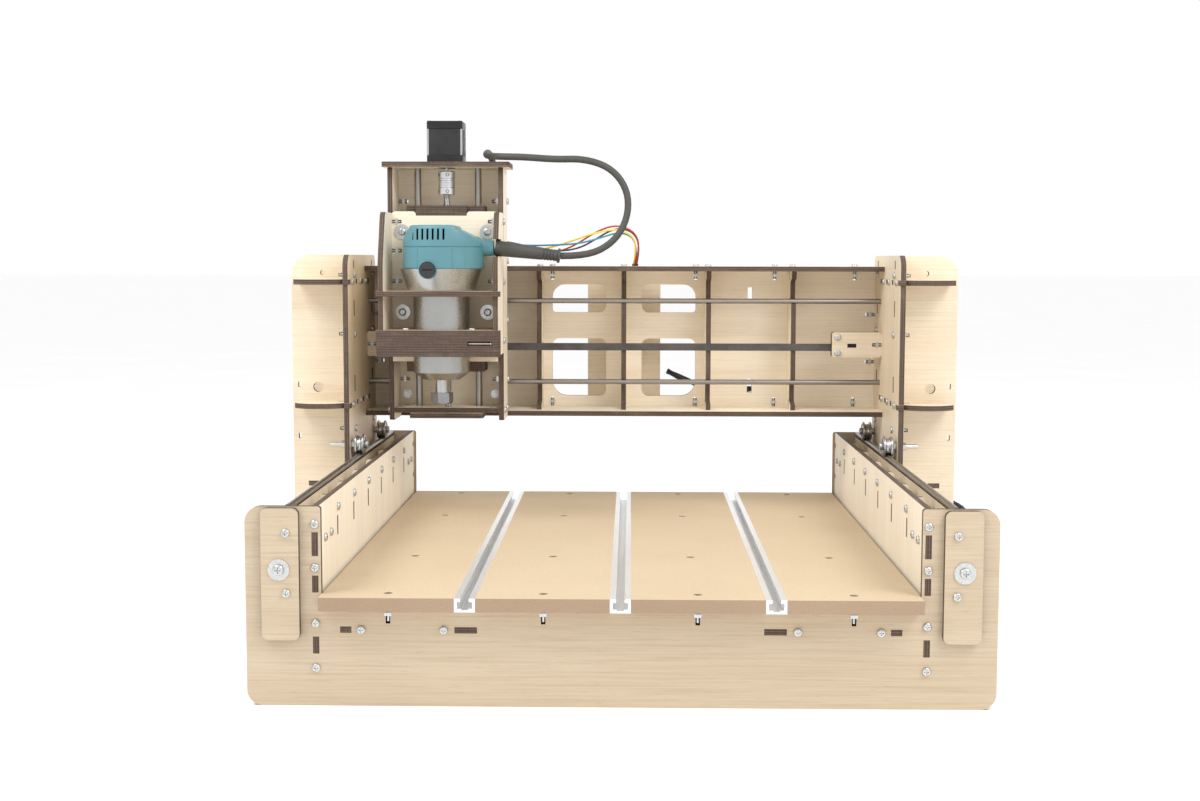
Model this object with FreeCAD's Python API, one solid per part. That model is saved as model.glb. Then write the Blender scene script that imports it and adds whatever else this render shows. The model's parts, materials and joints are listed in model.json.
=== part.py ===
"""Desktop three-axis CNC router with a slotted plywood frame.

Millimetres.  X to the right, Y to the rear, Z up.  The origin is on the
surface the machine stands on, in the middle of its base.
"""
import FreeCAD, Part
import math
import os

V = FreeCAD.Vector

# ---------------------------------------------------------------- driving sizes
PLY = 6.0                  # plywood sheet
BASE_LENGTH = 660.0        # outside of front plate to outside of back plate
BASE_WIDTH = 694.0         # front and back plates
BASE_HEIGHT = 187.0        # top of the front plate's ears
BED_WIDTH = 558.0          # between the two inner walls
BED_TOP = 106.0            # working surface
BOARD = 12.7               # spoilboard thickness
TRACK_WIDTH = 19.05        # aluminium T-track
TRACK_PITCH = 142.0        # between neighbouring tracks
TABLE_OVERHANG = 20.0      # table in front of the front plate
RAIL_GAP = 20.0            # between inner wall and rail plate
RAIL_TOP = 181.8           # edge that carries the upper Y rod
RAIL_BOTTOM = 60.0         # edge that carries the lower Y rod
ROD = 6.4                  # round guide rods of X and Y
BULKHEAD_PITCH = 92.0
BULKHEADS = 6
BELT_WIDTH = 9.0
BELT_THICK = 1.4
Y_BELT_Z = 129.0
WHEEL = 24.0               # grooved bearing wheel
WHEEL_WIDTH = 11.0
WHEEL_REACH = 12.5         # rod centre to wheel centre
AXLE = 5.0
AXLE_HEAD = 3.2            # height of an axle bolt's head
AXLE_PLAY = 0.3            # wheel's side to bolt head and to spacer
SCREW = 4.0
GAP = 0.1                  # clearance of a hole round its screw
RUN = 0.3                  # clearance of moving faces
SNUG = 0.05                # clearance of a clamped round part

GANTRY_WIDTH = 636.0       # between the two side plates
GANTRY_FRONT = 62.0
GANTRY_REAR = 262.0
GANTRY_TOP = 419.0
GANTRY_BOTTOM = 25.0
WHEEL_BASE = 166.0         # front Y wheels to rear Y wheels
FRONT_WHEEL_Y = 76.0
TOWER_WIDTH = 67.0         # tower panel outside the side plate
TOWER_FACE_Y = 100.0
TOWER_BACK_Y = 230.0
SHELF_WIDTH = 58.0
SHELF_LEVELS = (244.0, 387.5)
MOTOR_SHELF_Z = 145.0
BEAM_FRONT = 180.0
BEAM_TOP = 405.7
BEAM_BOTTOM = 221.7
RIB_PITCH = 105.0
RIBS = 5
RIB_FRONT = 204.0
RIB_END = 200.0            # ribs' front edge above and below the wheels
X_ROD_Y = 207.0
X_ROD_LEVELS = (262.2, 362.8)
X_BELT_Y = 202.5
X_BELT_Z = 306.0

CARRIAGE_X = -211.0
CARRIAGE_WIDTH = 137.0
CARRIAGE_FRONT = 118.0
CARRIAGE_REAR = 175.0
CARRIAGE_BOTTOM = 222.0
CARRIAGE_TOP = 522.0
CARRIAGE_DECK = 231.0
Z_ROD = 8.0
Z_ROD_PITCH = 72.4
Z_ROD_Y = 147.0
SCREW_Y = 134.0            # lead screw
LEAD_SCREW = 8.0
MOTOR = 42.3
MOTOR_LONG = 48.0
X_MOTOR_Y = 179.0
X_SHELF_Z = 313.0

SLIDER_FRONT = 37.0
SLIDER_REAR = 116.0
SLIDER_BOTTOM = 303.0
SLIDER_TOP = 468.0
CLAMP_LAYERS = 5
CLAMP_FRONT = 33.0
RING_Z = 371.5
ROUTER_Y = 73.0
BARREL = 65.0

# ---------------------------------------------------------------- derived sizes
FRONT = -BASE_LENGTH / 2
REAR = BASE_LENGTH / 2
WALL_IN = BED_WIDTH / 2
WALL_OUT = WALL_IN + PLY
RAIL_IN = WALL_OUT + RAIL_GAP
RAIL_OUT = RAIL_IN + PLY
RAIL_X = RAIL_IN + PLY / 2
BOARD_UNDER = BED_TOP - BOARD
DECK_TOP = BOARD_UNDER - 18.3
SIDE_IN = GANTRY_WIDTH / 2
SIDE_OUT = SIDE_IN + PLY
TOWER_OUT = SIDE_OUT + TOWER_WIDTH
SHELF_OUT = SIDE_OUT + SHELF_WIDTH
Y_BELT_X = RAIL_OUT + (SIDE_IN - RAIL_OUT) / 2
BEARERS = (-140.0, 126.0, 310.0)
BACK_PANEL = GANTRY_REAR - PLY
C_OUT = CARRIAGE_WIDTH / 2
C_IN = C_OUT - PLY
BACK_Y = CARRIAGE_REAR - PLY
SLIDER_BACK = SLIDER_REAR - PLY
CLAMP_TOP = SLIDER_BOTTOM + CLAMP_LAYERS * PLY
Z_FACE = CARRIAGE_TOP + PLY
MOTOR_X = SIDE_OUT + 3.0 + MOTOR / 2
Y_MOTOR_Y = (TOWER_FACE_Y + TOWER_BACK_Y) / 2
PULLEY = 6.1
GUIDE = 6.2


# ---------------------------------------------------------------- basic solids
def box(x0, x1, y0, y1, z0, z1):
    """Block between two corners, given in any order."""
    low = V(min(x0, x1), min(y0, y1), min(z0, z1))
    return Part.makeBox(abs(x1 - x0), abs(y1 - y0), abs(z1 - z0), low)


def cyl(x, y, z, radius, length, axis="z"):
    """Cylinder that starts at a point and runs along +axis."""
    way = {"x": V(1, 0, 0), "y": V(0, 1, 0), "z": V(0, 0, 1)}[axis]
    return Part.makeCylinder(radius, length, V(x, y, z), way)


def outline(points):
    """Closed wire through (point, radius) corners, each corner rounded."""
    edges = []
    ends = []
    count = len(points)
    for i in range(count):
        corner, radius = points[i]
        before = points[i - 1][0]
        after = points[(i + 1) % count][0]
        if radius <= 0:
            ends.append((corner, corner))
            continue
        u = (before - corner).normalize()
        v = (after - corner).normalize()
        half = u.getAngle(v) / 2
        reach = radius / math.tan(half)
        first = corner + u * reach
        last = corner + v * reach
        middle = (u + v).normalize()
        crown = corner + middle * (radius / math.sin(half) - radius)
        edges.append(Part.Arc(first, crown, last).toShape())
        ends.append((first, last))
    for i in range(count):
        start = ends[i][1]
        stop = ends[(i + 1) % count][0]
        if start.distanceToPoint(stop) > 1e-6:
            edges.append(Part.LineSegment(start, stop).toShape())
    return Part.Wire(Part.__sortEdges__(edges))


def plate(plane, at, corners, thick=PLY):
    """Sheet of a given outline: (u, v, corner radius) in plane xy, xz or yz."""
    turn = {
        "xy": lambda u, v: V(u, v, at),
        "xz": lambda u, v: V(u, at, v),
        "yz": lambda u, v: V(at, u, v),
    }[plane]
    normal = {"xy": V(0, 0, 1), "xz": V(0, 1, 0), "yz": V(1, 0, 0)}[plane]
    wire = outline([(turn(u, v), r) for u, v, r in corners])
    return Part.Face(wire).extrude(normal * thick)


def slab(plane, at, u0, u1, v0, v1, radius=0.0, thick=PLY):
    """Rectangular sheet with equal corner radii."""
    corners = [(u0, v0, radius), (u1, v0, radius), (u1, v1, radius), (u0, v1, radius)]
    return plate(plane, at, corners, thick)


def mirror(shape):
    return shape.mirror(V(0, 0, 0), V(1, 0, 0))


def pair(shape):
    """A right-hand piece and its left-hand twin."""
    return [shape, mirror(shape)]


def cut(shape, tools):
    tools = [t for t in tools if shape.BoundBox.intersect(t.BoundBox)]
    if not tools:
        return shape
    return shape.cut(tools)


def join(shapes):
    return shapes[0].fuse(shapes[1:]).removeSplitter()


def save(name, shapes):
    """Write the solids of one sub-part."""
    solids = []
    for shape in shapes:
        solids.extend(shape.Solids)
    Part.makeCompound(solids).exportStep("parts/" + name + ".step")
    print(name, len(solids), round(sum(s.Volume for s in solids)))


# ---------------------------------------------------------------- fasteners
def placed(shape, point, way):
    """Turn a shape made along +Z so that it runs along way from point."""
    shape = shape.copy()
    turn = FreeCAD.Rotation(V(0, 0, 1), way)
    shape.Placement = FreeCAD.Placement(point, turn)
    return shape


def pan_head(radius=4.0, high=2.6):
    """Rounded head below z=0 with a cross recess."""
    head = Part.makeCylinder(radius, high, V(0, 0, -high))
    rim = [e for e in head.Edges if abs(e.BoundBox.ZMax + high) < 1e-6]
    head = head.makeFillet(high * 0.6, rim)
    arm = radius * 1.1
    wide = radius * 0.26
    deep = high * 0.6
    cross = Part.makeBox(arm, wide, deep, V(-arm / 2, -wide / 2, -high))
    other = Part.makeBox(wide, arm, deep, V(-wide / 2, -arm / 2, -high))
    return head.cut([cross, other])


def screw(point, way, length=16.0, radius=4.0, thread=SCREW):
    """Pan-head machine screw, its head's flat face at point."""
    shank = Part.makeCylinder(thread / 2, length)
    body = pan_head(radius, radius * 0.65).fuse(shank).removeSplitter()
    return placed(body, point, way)


def square_nut(point, way, across=7.0, high=3.2, thread=SCREW):
    nut = Part.makeBox(across, across, high, V(-across / 2, -across / 2, 0))
    nut = nut.cut(Part.makeCylinder(thread / 2 + 0.05, high))
    return placed(nut, point, way)


def hole(point, way, length, thread=SCREW):
    """Cutter for a screw's shank."""
    return placed(Part.makeCylinder(thread / 2 + GAP, length), point, way)


class Joint:
    """Screw through one sheet into a T-slot with a nut in another sheet."""

    def __init__(self, point, way, face, nut_at=10.0, length=16.0):
        self.screw = screw(point, way, length)
        self.nut = square_nut(point + way * nut_at, way)
        side = way.cross(face)
        wide = SCREW / 2 + GAP
        self.cutters = [
            hole(point, way, PLY),
            self.pocket(point, way, face, side, PLY, length + 1.5, wide),
            self.pocket(point, way, face, side, nut_at, nut_at + 3.2, 3.5 + GAP),
        ]

    @staticmethod
    def pocket(point, way, face, side, start, stop, half):
        depth = PLY / 2 + 0.6
        a = point + way * start + side * half + face * depth
        b = point + way * stop - side * half - face * depth
        return box(a.x, b.x, a.y, b.y, a.z, b.z)

    def solids(self):
        return [self.screw, self.nut]


def mirrored(joints):
    """Solids and cutters of right-hand joints together with their twins."""
    solids = [s for j in joints for s in j.solids()]
    cutters = [c for j in joints for c in j.cutters]
    solids += [mirror(s) for s in solids]
    cutters += [mirror(c) for c in cutters]
    return solids, cutters


def washer(point, way, radius, bore, thick=1.2):
    ring = Part.makeCylinder(radius, thick).cut(Part.makeCylinder(bore, thick))
    return placed(ring, point, way)


# ---------------------------------------------------------------- base
RIGHT = V(1, 0, 0)
LEFT = V(-1, 0, 0)
BACK = V(0, 1, 0)
FORE = V(0, -1, 0)
UP = V(0, 0, 1)
DOWN = V(0, 0, -1)

EAR_EDGE = WALL_IN - 2.5
END_TABS = ((49.2, 65.3), (106.7, 122.6), (140.8, 163.0))
END_SCREWS = (36.0, 78.0, 130.0, 170.5)
DECK_TABS = ((132.5, 153.5), (249.0, 259.5))
DECK_SCREWS = (163.5, 240.0)
TABLE_SCREWS = (71.3, 215.0)
SIDE_PAIRS = (268.0, 297.0)
BULKHEAD_YS = [(i - (BULKHEADS - 1) / 2) * BULKHEAD_PITCH for i in range(BULKHEADS)]
BULKHEAD_TAB = (144.0, 163.0)
BULKHEAD_SCREW_Z = 172.0
DOUBLER = (296.0, 331.0)
DOUBLER_Z = (63.0, 186.0)
DOUBLER_SCREWS = ((307.8, 163.0), (307.8, 107.0))


def end_plate(y):
    """Front or back plate: two tall ears and a low middle under the table."""
    half = BASE_WIDTH / 2
    corners = [
        (-half, 0, 15), (half, 0, 15), (half, BASE_HEIGHT, 15),
        (EAR_EDGE, BASE_HEIGHT, 3), (EAR_EDGE, BOARD_UNDER, 0),
        (-EAR_EDGE, BOARD_UNDER, 0), (-EAR_EDGE, BASE_HEIGHT, 3),
        (-half, BASE_HEIGHT, 15),
    ]
    body = plate("xz", y, corners)
    tabs = []
    for low, high in END_TABS:
        tabs += pair(box(WALL_IN, WALL_OUT, y, y + PLY, low, high))
    for near, far in DECK_TABS:
        tabs += pair(box(near, far, y, y + PLY, DECK_TOP - PLY, DECK_TOP))
    return cut(body, tabs)


def end_joints(face, way):
    """Right-hand screws that hold an end plate to walls and deck."""
    joints = []
    for z in END_SCREWS:
        joints.append(Joint(V(WALL_IN + PLY / 2, face, z), way, RIGHT))
    for x in DECK_SCREWS:
        joints.append(Joint(V(x, face, DECK_TOP - PLY / 2), way, UP))
    return joints


def inner_wall():
    """Right-hand inner wall with its tabs into both end plates."""
    body = slab("yz", WALL_IN, FRONT + PLY, REAR - PLY, 0, BASE_HEIGHT)
    tabs = [box(WALL_IN, WALL_OUT, FRONT, REAR, low, high) for low, high in END_TABS]
    return join([body] + tabs)


def rail_plate():
    """Right-hand rail plate between the end plates."""
    return slab("yz", RAIL_IN, FRONT + PLY, REAR - PLY, RAIL_BOTTOM, RAIL_TOP)


def bulkhead(y):
    """Web between inner wall and rail plate, its top swept down to the rail."""
    low = RAIL_BOTTOM + 8
    corners = [
        (WALL_OUT, low, 0), (RAIL_IN, low, 0), (RAIL_IN, RAIL_TOP - 9, 5),
        (RAIL_IN - 8, RAIL_TOP - 5, 4), (RAIL_IN - 10, RAIL_TOP + 2, 3), (WALL_OUT, RAIL_TOP + 2, 0),
    ]
    web = plate("xz", y - PLY / 2, corners)
    tab = box(WALL_IN, WALL_OUT, y - PLY / 2, y + PLY / 2, *BULKHEAD_TAB)
    return join([web, tab])


def make_base():
    front_joints = end_joints(FRONT, BACK)
    rear_joints = end_joints(REAR, FORE)
    wall_joints = []
    for y in BULKHEAD_YS:
        wall_joints.append(Joint(V(WALL_IN, y, BULKHEAD_SCREW_Z), RIGHT, BACK, 8.0, 13.0))
    solids, cutters = mirrored(front_joints + rear_joints + wall_joints)
    fasteners = list(solids)

    front = end_plate(FRONT)
    back = end_plate(REAR - PLY)
    walls = pair(inner_wall())
    rails = pair(rail_plate())
    webs = [w for y in BULKHEAD_YS for w in pair(bulkhead(y))]

    # deck: horizontal sheet between walls, tabbed into both end plates
    deck = slab("xy", DECK_TOP - PLY, -WALL_IN, WALL_IN, FRONT + PLY, REAR - PLY)
    tabs = []
    for near, far in DECK_TABS:
        tabs += pair(box(near, far, FRONT, REAR, DECK_TOP - PLY, DECK_TOP))
    deck = join([deck] + tabs)
    bearers = [
        slab("xz", y - PLY / 2, -WALL_IN, WALL_IN, DECK_TOP, BOARD_UNDER) for y in BEARERS
    ]

    # spoilboards with the three tracks between them
    reach = (FRONT - TABLE_OVERHANG, REAR)
    half = TRACK_WIDTH / 2
    outer = WALL_IN - 3
    edges = [-outer]
    for i in (-1, 0, 1):
        edges += [i * TRACK_PITCH - half, i * TRACK_PITCH + half]
    edges.append(outer)
    boards = []
    for i in range(0, 8, 2):
        boards.append(box(edges[i], edges[i + 1], *reach, BOARD_UNDER, BED_TOP))
    tracks = [t_track(i * TRACK_PITCH, *reach) for i in (-1, 0, 1)]
    notch = [box(s * WALL_IN, s * (EAR_EDGE - 1), y, y + PLY, BOARD_UNDER, BED_TOP + 1)
             for s in (-1, 1) for y in (FRONT, REAR - PLY)]
    boards = [cut(b, notch) for b in boards]

    # countersunk table screws into nuts in front plate, bearers and back plate
    rows = (FRONT + PLY / 2,) + BEARERS
    table_cuts = []
    for y in rows:
        for x in TABLE_SCREWS:
            for s in (-1, 1):
                top, below, nut, tools = table_screw(s * x, y)
                fasteners += [top, nut]
                table_cuts += tools
                boards = [cut(b, [below]) for b in boards]
    front = cut(front, table_cuts)
    bearers = [cut(b, table_cuts) for b in bearers]

    # screws of the end brackets, heads on the inner walls
    for y in SIDE_PAIRS:
        for s in (-1, 1):
            point = V(WALL_IN, s * y, 153.0)
            fasteners += pair(screw(point, RIGHT, PLY - 0.5))
            cutters += pair(hole(point, RIGHT, PLY))

    # doubler plates with belt bolts at both ends
    doublers = []
    clamps = []
    for face, way in ((FRONT, BACK), (REAR, FORE)):
        y = face - way.y * PLY
        plate_y = min(y, face)
        doubler = slab("xz", plate_y, *DOUBLER, *DOUBLER_Z, 6)
        bolt = V(Y_BELT_X, y - way.y * 1.2, Y_BELT_Z)
        hidden = 2 * PLY + 1.2
        tools = [hole(bolt, way, hidden + 20, AXLE)]
        clamp = box(RAIL_OUT + 0.3, SIDE_IN - 0.3, face + way.y * PLY, face + way.y * (PLY + 16), 121, 137)
        tools += [hole(V(x, y, z), way, 2 * PLY, SCREW) for x, z in DOUBLER_SCREWS]
        for x, z in DOUBLER_SCREWS:
            fasteners += pair(screw(V(x, y, z), way, 2 * PLY - 0.2))
        fasteners += pair(screw(bolt, way, hidden + 12, 5.2, AXLE))
        fasteners += pair(washer(V(Y_BELT_X, y, Y_BELT_Z), way * -1, 10.0, AXLE / 2 + GAP))
        clamps += pair(cut(clamp, tools))
        doublers += pair(cut(doubler, tools))
        both = tools + [mirror(t) for t in tools]
        front = cut(front, both)
        back = cut(back, both)
        rails = [cut(r, both) for r in rails]
    belt_end = REAR - PLY - 16
    belts = pair(box(
        Y_BELT_X - BELT_THICK / 2, Y_BELT_X + BELT_THICK / 2, -belt_end, belt_end,
        Y_BELT_Z - BELT_WIDTH / 2, Y_BELT_Z + BELT_WIDTH / 2))

    rods = []
    for z in (RAIL_TOP + ROD / 2, RAIL_BOTTOM - ROD / 2):
        rods += pair(cyl(RAIL_X, FRONT + PLY, z, ROD / 2, BASE_LENGTH - 2 * PLY, "y"))

    save("front_plate", [cut(front, cutters)])
    save("back_plate", [cut(back, cutters)])
    save("inner_walls", [cut(cut(w, webs), cutters) for w in walls])
    save("rail_plates", [cut(r, cutters) for r in rails])
    save("side_bulkheads", [cut(w, cutters) for w in webs])
    save("bed_frame", [cut(deck, cutters)] + bearers)
    save("spoilboards", boards)
    save("t_tracks", tracks)
    save("belt_end_plates", doublers)
    save("y_belts", belts)
    save("y_rods", rods)
    save("base_fasteners", fasteners + clamps)


def t_track(x, start, stop):
    """Aluminium track: U channel with inward lips over a wide slot."""
    half = TRACK_WIDTH / 2
    body = box(x - half, x + half, start, stop, BOARD_UNDER, BED_TOP)
    mouth = box(x - 3.9, x + 3.9, start, stop, BED_TOP - 6, BED_TOP)
    room = box(x - 7.0, x + 7.0, start, stop, BOARD_UNDER + 3.2, BED_TOP - 3.2)
    floor = box(x - 3.3, x + 3.3, start, stop, BOARD_UNDER + 1.8, BOARD_UNDER + 4)
    return cut(body, [mouth, room, floor])


def table_screw(x, y):
    """Countersunk screw, its hole through a board, its nut and its T-slot."""
    head = Part.makeCone(4.0, SCREW / 2, 2.4, V(x, y, BED_TOP - 0.6), DOWN)
    shank = Part.makeCylinder(SCREW / 2, 24.0, V(x, y, BED_TOP - 2), DOWN)
    socket = Part.makeCylinder(1.5, 1.4, V(x, y, BED_TOP - 2))
    body = head.fuse(shank).removeSplitter().cut(socket)
    sink = Part.makeCone(4.1, SCREW / 2 + GAP, 2.4, V(x, y, BED_TOP - 0.6), DOWN)
    bore = Part.makeCylinder(SCREW / 2 + GAP, BOARD, V(x, y, BED_TOP), DOWN)
    rim = Part.makeCylinder(4.1, 0.6, V(x, y, BED_TOP - 0.6))
    nut_top = BOARD_UNDER - 5.0
    nut = square_nut(V(x, y, nut_top - 3.2), UP)
    slot = box(x - 2.1, x + 2.1, y - 4, y + 4, BED_TOP - 28, BOARD_UNDER)
    pocket = box(x - 3.6, x + 3.6, y - 4, y + 4, nut_top - 3.2, nut_top)
    return body, sink.fuse([bore, rim]), nut, [slot, pocket]


# ---------------------------------------------------------------- gantry
SIDE_SCREWS = (214.0, 326.0, 395.5)
FACE_TABS = ((258.0, 277.0), (347.0, 366.0), (403.0, 413.0))
SHELF_TABS = (120.0, 163.0, 205.0)
SHELF_SCREWS = (88.0, 142.0, 184.0)
WINDOW_X = (22.5, 91.0)
WINDOW_LOW = (240.7, 313.8)
WINDOW_HIGH = (347.0, 382.4)
BACK_SLOTS = ((245.0, 263.0), (363.0, 379.0))
BACK_SLOT_X = 160.0
BEAM_SCREWS = (91.0, 191.0, 292.0)
AXLE_OUT = 343.0
WHEEL_YS = (FRONT_WHEEL_Y, FRONT_WHEEL_Y + WHEEL_BASE)
WHEEL_ZS = (RAIL_TOP + ROD / 2 + WHEEL_REACH, RAIL_BOTTOM - ROD / 2 - WHEEL_REACH)


def side_plate():
    """Right-hand side plate, before its slots."""
    y0 = GANTRY_FRONT
    y1 = GANTRY_REAR
    corners = [
        (y0, GANTRY_BOTTOM, 12), (y1, GANTRY_BOTTOM, 12), (y1, GANTRY_TOP, 12), (y0, GANTRY_TOP, 16),
    ]
    return plate("yz", SIDE_IN, corners)


def tower_panel(y):
    """Right-hand upright panel with a rounded outer top corner."""
    corners = [
        (SIDE_OUT, GANTRY_BOTTOM, 0), (TOWER_OUT, GANTRY_BOTTOM, 12),
        (TOWER_OUT, GANTRY_TOP, 24), (SIDE_OUT, GANTRY_TOP, 0),
    ]
    body = plate("xz", y, corners)
    tabs = [box(SIDE_IN, SIDE_OUT, y, y + PLY, low, high) for low, high in FACE_TABS]
    return join([body] + tabs)


def tower_shelf(z):
    """Right-hand shelf: bowed front, tabs through the side plate."""
    low = z - PLY / 2
    front = GANTRY_FRONT + 4
    middle = (SIDE_OUT + SHELF_OUT) / 2
    points = [V(SIDE_OUT, front, low), V(SHELF_OUT, front, low),
              V(SHELF_OUT, TOWER_BACK_Y, low), V(SIDE_OUT, TOWER_BACK_Y, low)]
    bow = Part.Arc(points[0], V(middle, front - 14, low), points[1]).toShape()
    edges = [bow] + [Part.LineSegment(points[i], points[(i + 1) % 4]).toShape() for i in (1, 2, 3)]
    body = Part.Face(Part.Wire(edges)).extrude(V(0, 0, PLY))
    tabs = [box(SIDE_IN, SIDE_OUT, y - 5, y + 5, low, low + PLY) for y in SHELF_TABS]
    nose = box(SIDE_IN - 1.5, SIDE_OUT, GANTRY_FRONT - 2, GANTRY_FRONT + 10, low, low + PLY)
    nose_neck = box(SIDE_OUT - 1, SIDE_OUT + 2, front, GANTRY_FRONT + 10, low, low + PLY)
    return join([body, nose, nose_neck] + tabs)


def motor(x, y, z, shaft_way=-1):
    """Stepper motor whose mounting face is at z; the shaft leaves that face."""
    half = MOTOR / 2
    chamfer = 4.5
    back = -shaft_way
    a, b = sorted((z, z + back * MOTOR_LONG))
    body = Part.makeBox(MOTOR, MOTOR, b - a, V(x - half, y - half, a))
    edges = [e for e in body.Edges if abs(e.BoundBox.ZLength - (b - a)) < 1e-6]
    body = body.makeChamfer(chamfer, edges)
    caps = []
    for low, high in ((a + 8, a + 8.8), (b - 8.8, b - 8)):
        ring = box(x - half - 1, x + half + 1, y - half - 1, y + half + 1, low, high)
        caps.append(ring.cut(box(x - half + 0.6, x + half - 0.6, y - half + 0.6, y + half - 0.6, low, high)))
    body = body.cut(caps)
    boss_z = z if shaft_way > 0 else z - 2
    boss = cyl(x, y, boss_z, 11.0, 2.0)
    shaft_z = z if shaft_way > 0 else z - 24
    shaft = cyl(x, y, shaft_z, 2.5, 24.0)
    return join([body, boss, shaft])


def motor_hole(x, y, z):
    """Cutters for a motor's boss and its four screws in a sheet."""
    tools = [cyl(x, y, z - 1, 11.2, PLY + 2)]
    for dx in (-15.5, 15.5):
        for dy in (-15.5, 15.5):
            tools.append(cyl(x + dx, y + dy, z - 1, 1.6, PLY + 2))
    return tools


def pulley(x, y, z):
    """Toothed belt pulley with two flanges, bored for the motor shaft."""
    high = BELT_WIDTH + 0.6
    body = cyl(x, y, z - high / 2, PULLEY, high)
    teeth = []
    for i in range(20):
        angle = 2 * math.pi * i / 20
        teeth.append(cyl(x + PULLEY * math.cos(angle), y + PULLEY * math.sin(angle), z - high / 2, 0.45, high))
    body = body.cut(teeth)
    flanges = [cyl(x, y, z - high / 2 - 1, 8.0, 1.0), cyl(x, y, z + high / 2, 8.0, 1.0)]
    hub = cyl(x, y, z - high / 2 - 6, 6.5, 5.0)
    body = join([body, hub] + flanges)
    return body.cut(cyl(x, y, z - 20, 2.5 + 0.02, 40))


def belt_loop(guide_line, stem):
    """Belt led over two guide pins round a pulley, and the two pins.

    Drawn with the fixed belt along X at y=guide_line, the pulley's axis at
    the origin on the negative side of it, and the belt's lower edge at z=0.
    The pins hang from a sheet whose top is at z=stem.
    """
    inner = PULLEY + GAP
    outer = inner + BELT_THICK
    tight = GUIDE + GAP
    pin = outer + tight
    turn_y = guide_line - BELT_THICK / 2 - RUN - BELT_THICK - tight

    def region(radius, bend):
        """Area on the pulley's side of one face of the belt."""
        slant = bend * math.cos(math.pi / 4)
        right = [V(radius, 0, 0), V(radius, turn_y, 0),
                 V(pin - slant, turn_y + slant, 0), V(pin, turn_y + bend, 0)]
        left = [V(-p.x, p.y, 0) for p in right]
        edges = [
            Part.Arc(left[0], V(0, -radius, 0), right[0]).toShape(),
            Part.LineSegment(right[0], right[1]).toShape(),
            Part.Arc(right[1], right[2], right[3]).toShape(),
            Part.LineSegment(right[3], left[3]).toShape(),
            Part.Arc(left[3], left[2], left[1]).toShape(),
            Part.LineSegment(left[1], left[0]).toShape(),
        ]
        return Part.Face(Part.Wire(edges)).extrude(V(0, 0, BELT_WIDTH))

    # the belt is the strip between the two regions
    belt = region(outer, tight).cut(region(inner, tight + BELT_THICK))
    belt = max(belt.Solids, key=lambda solid: solid.Volume)
    pins = []
    for s in (-1, 1):
        core = cyl(s * pin, turn_y, -2, 2.5, stem + 2)
        sleeve = cyl(s * pin, turn_y, -0.5, GUIDE, BELT_WIDTH + 1)
        pins.append(join([core, sleeve]))
    return belt, pins


def grooved_wheel(point, way):
    """Wheel with a round groove for the rod, bored for its axle."""
    half = WHEEL_WIDTH / 2
    body = Part.makeCylinder(WHEEL / 2, WHEEL_WIDTH, V(0, 0, -half))
    groove = Part.makeTorus(WHEEL_REACH, ROD / 2 + 0.05)
    rims = [e for e in body.Edges if e.BoundBox.ZLength < 1e-6]
    body = body.makeChamfer(0.8, rims)
    body = body.cut(groove)
    faces = []
    for s in (-1, 1):
        ring = Part.makeCylinder(WHEEL / 2 - 2.6, 0.7, V(0, 0, s * half - (0.7 if s > 0 else 0)))
        faces.append(ring.cut(Part.makeCylinder(4.6, 0.7, V(0, 0, s * half - (0.7 if s > 0 else 0)))))
    body = body.cut(faces)
    body = body.cut(Part.makeCylinder(AXLE / 2 + 0.04, WHEEL_WIDTH, V(0, 0, -half)))
    return placed(body, point, way)


def axle_bolt(wheel, way, plate_start, plate_stop, tip):
    """Bolt through a wheel and a sheet, with spacer and two nuts.

    wheel is the wheel's centre; the distances run along way from it.
    """
    half = WHEEL_WIDTH / 2
    start = wheel - way * (half + AXLE_PLAY)
    length = tip + half + AXLE_PLAY
    under = V(0, 0, -AXLE_HEAD)
    head = Part.makeCylinder(4.4, AXLE_HEAD, under).cut(Part.makeCylinder(2.0, 2.0, under))
    bolt = placed(head.fuse(Part.makeCylinder(AXLE / 2, length)).removeSplitter(), start, way)
    collar = 4.5
    bore = AXLE / 2 + 0.05
    long = plate_start - half - AXLE_PLAY
    ring = Part.makeCylinder(collar, long).cut(Part.makeCylinder(bore, long))
    spacer = placed(ring, wheel + way * (half + AXLE_PLAY), way)
    pieces = [bolt, spacer]
    at = plate_stop
    for thick, size in ((1.0, 5.5), (4.2, 4.6)):
        ring = Part.makeCylinder(size, thick) if size > 5 else hex_prism(size, thick)
        pieces.append(placed(ring.cut(Part.makeCylinder(bore, thick)), wheel + way * at, way))
        at += thick
    return pieces


def hex_prism(radius, high):
    points = [V(radius * math.cos(math.pi * i / 3), radius * math.sin(math.pi * i / 3), 0) for i in range(6)]
    return Part.Face(Part.makePolygon(points + points[:1])).extrude(V(0, 0, high))


def beam_sheet(z):
    """Top or bottom sheet of the beam."""
    return slab("xy", z, -SIDE_IN, SIDE_IN, BEAM_FRONT, GANTRY_REAR)


def rib(x, low, high):
    """Upright rib: steps back round the wheels, shoulders under each rod."""
    back = BACK_PANEL
    deep = X_ROD_Y + WHEEL_WIDTH / 2 + AXLE_PLAY + AXLE_HEAD + 1.0
    near = RIB_END
    lower = X_ROD_LEVELS[0] + ROD / 2
    upper = X_ROD_LEVELS[1] - ROD / 2
    wheel_low = X_ROD_LEVELS[0] - WHEEL_REACH - WHEEL / 2 - 1
    wheel_high = X_ROD_LEVELS[1] + WHEEL_REACH + WHEEL / 2 + 1
    corners = [
        (back, low, 0), (near, low, 0), (near, wheel_low - 3, 0), (deep, wheel_low + 2, 0),
        (deep, lower, 0), (RIB_FRONT, lower, 0), (RIB_FRONT, upper, 0), (deep, upper, 0),
        (deep, wheel_high - 2, 0), (near, wheel_high + 3, 0), (near, high, 0), (back, high, 0),
    ]
    return plate("yz", x - PLY / 2, corners)


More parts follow.
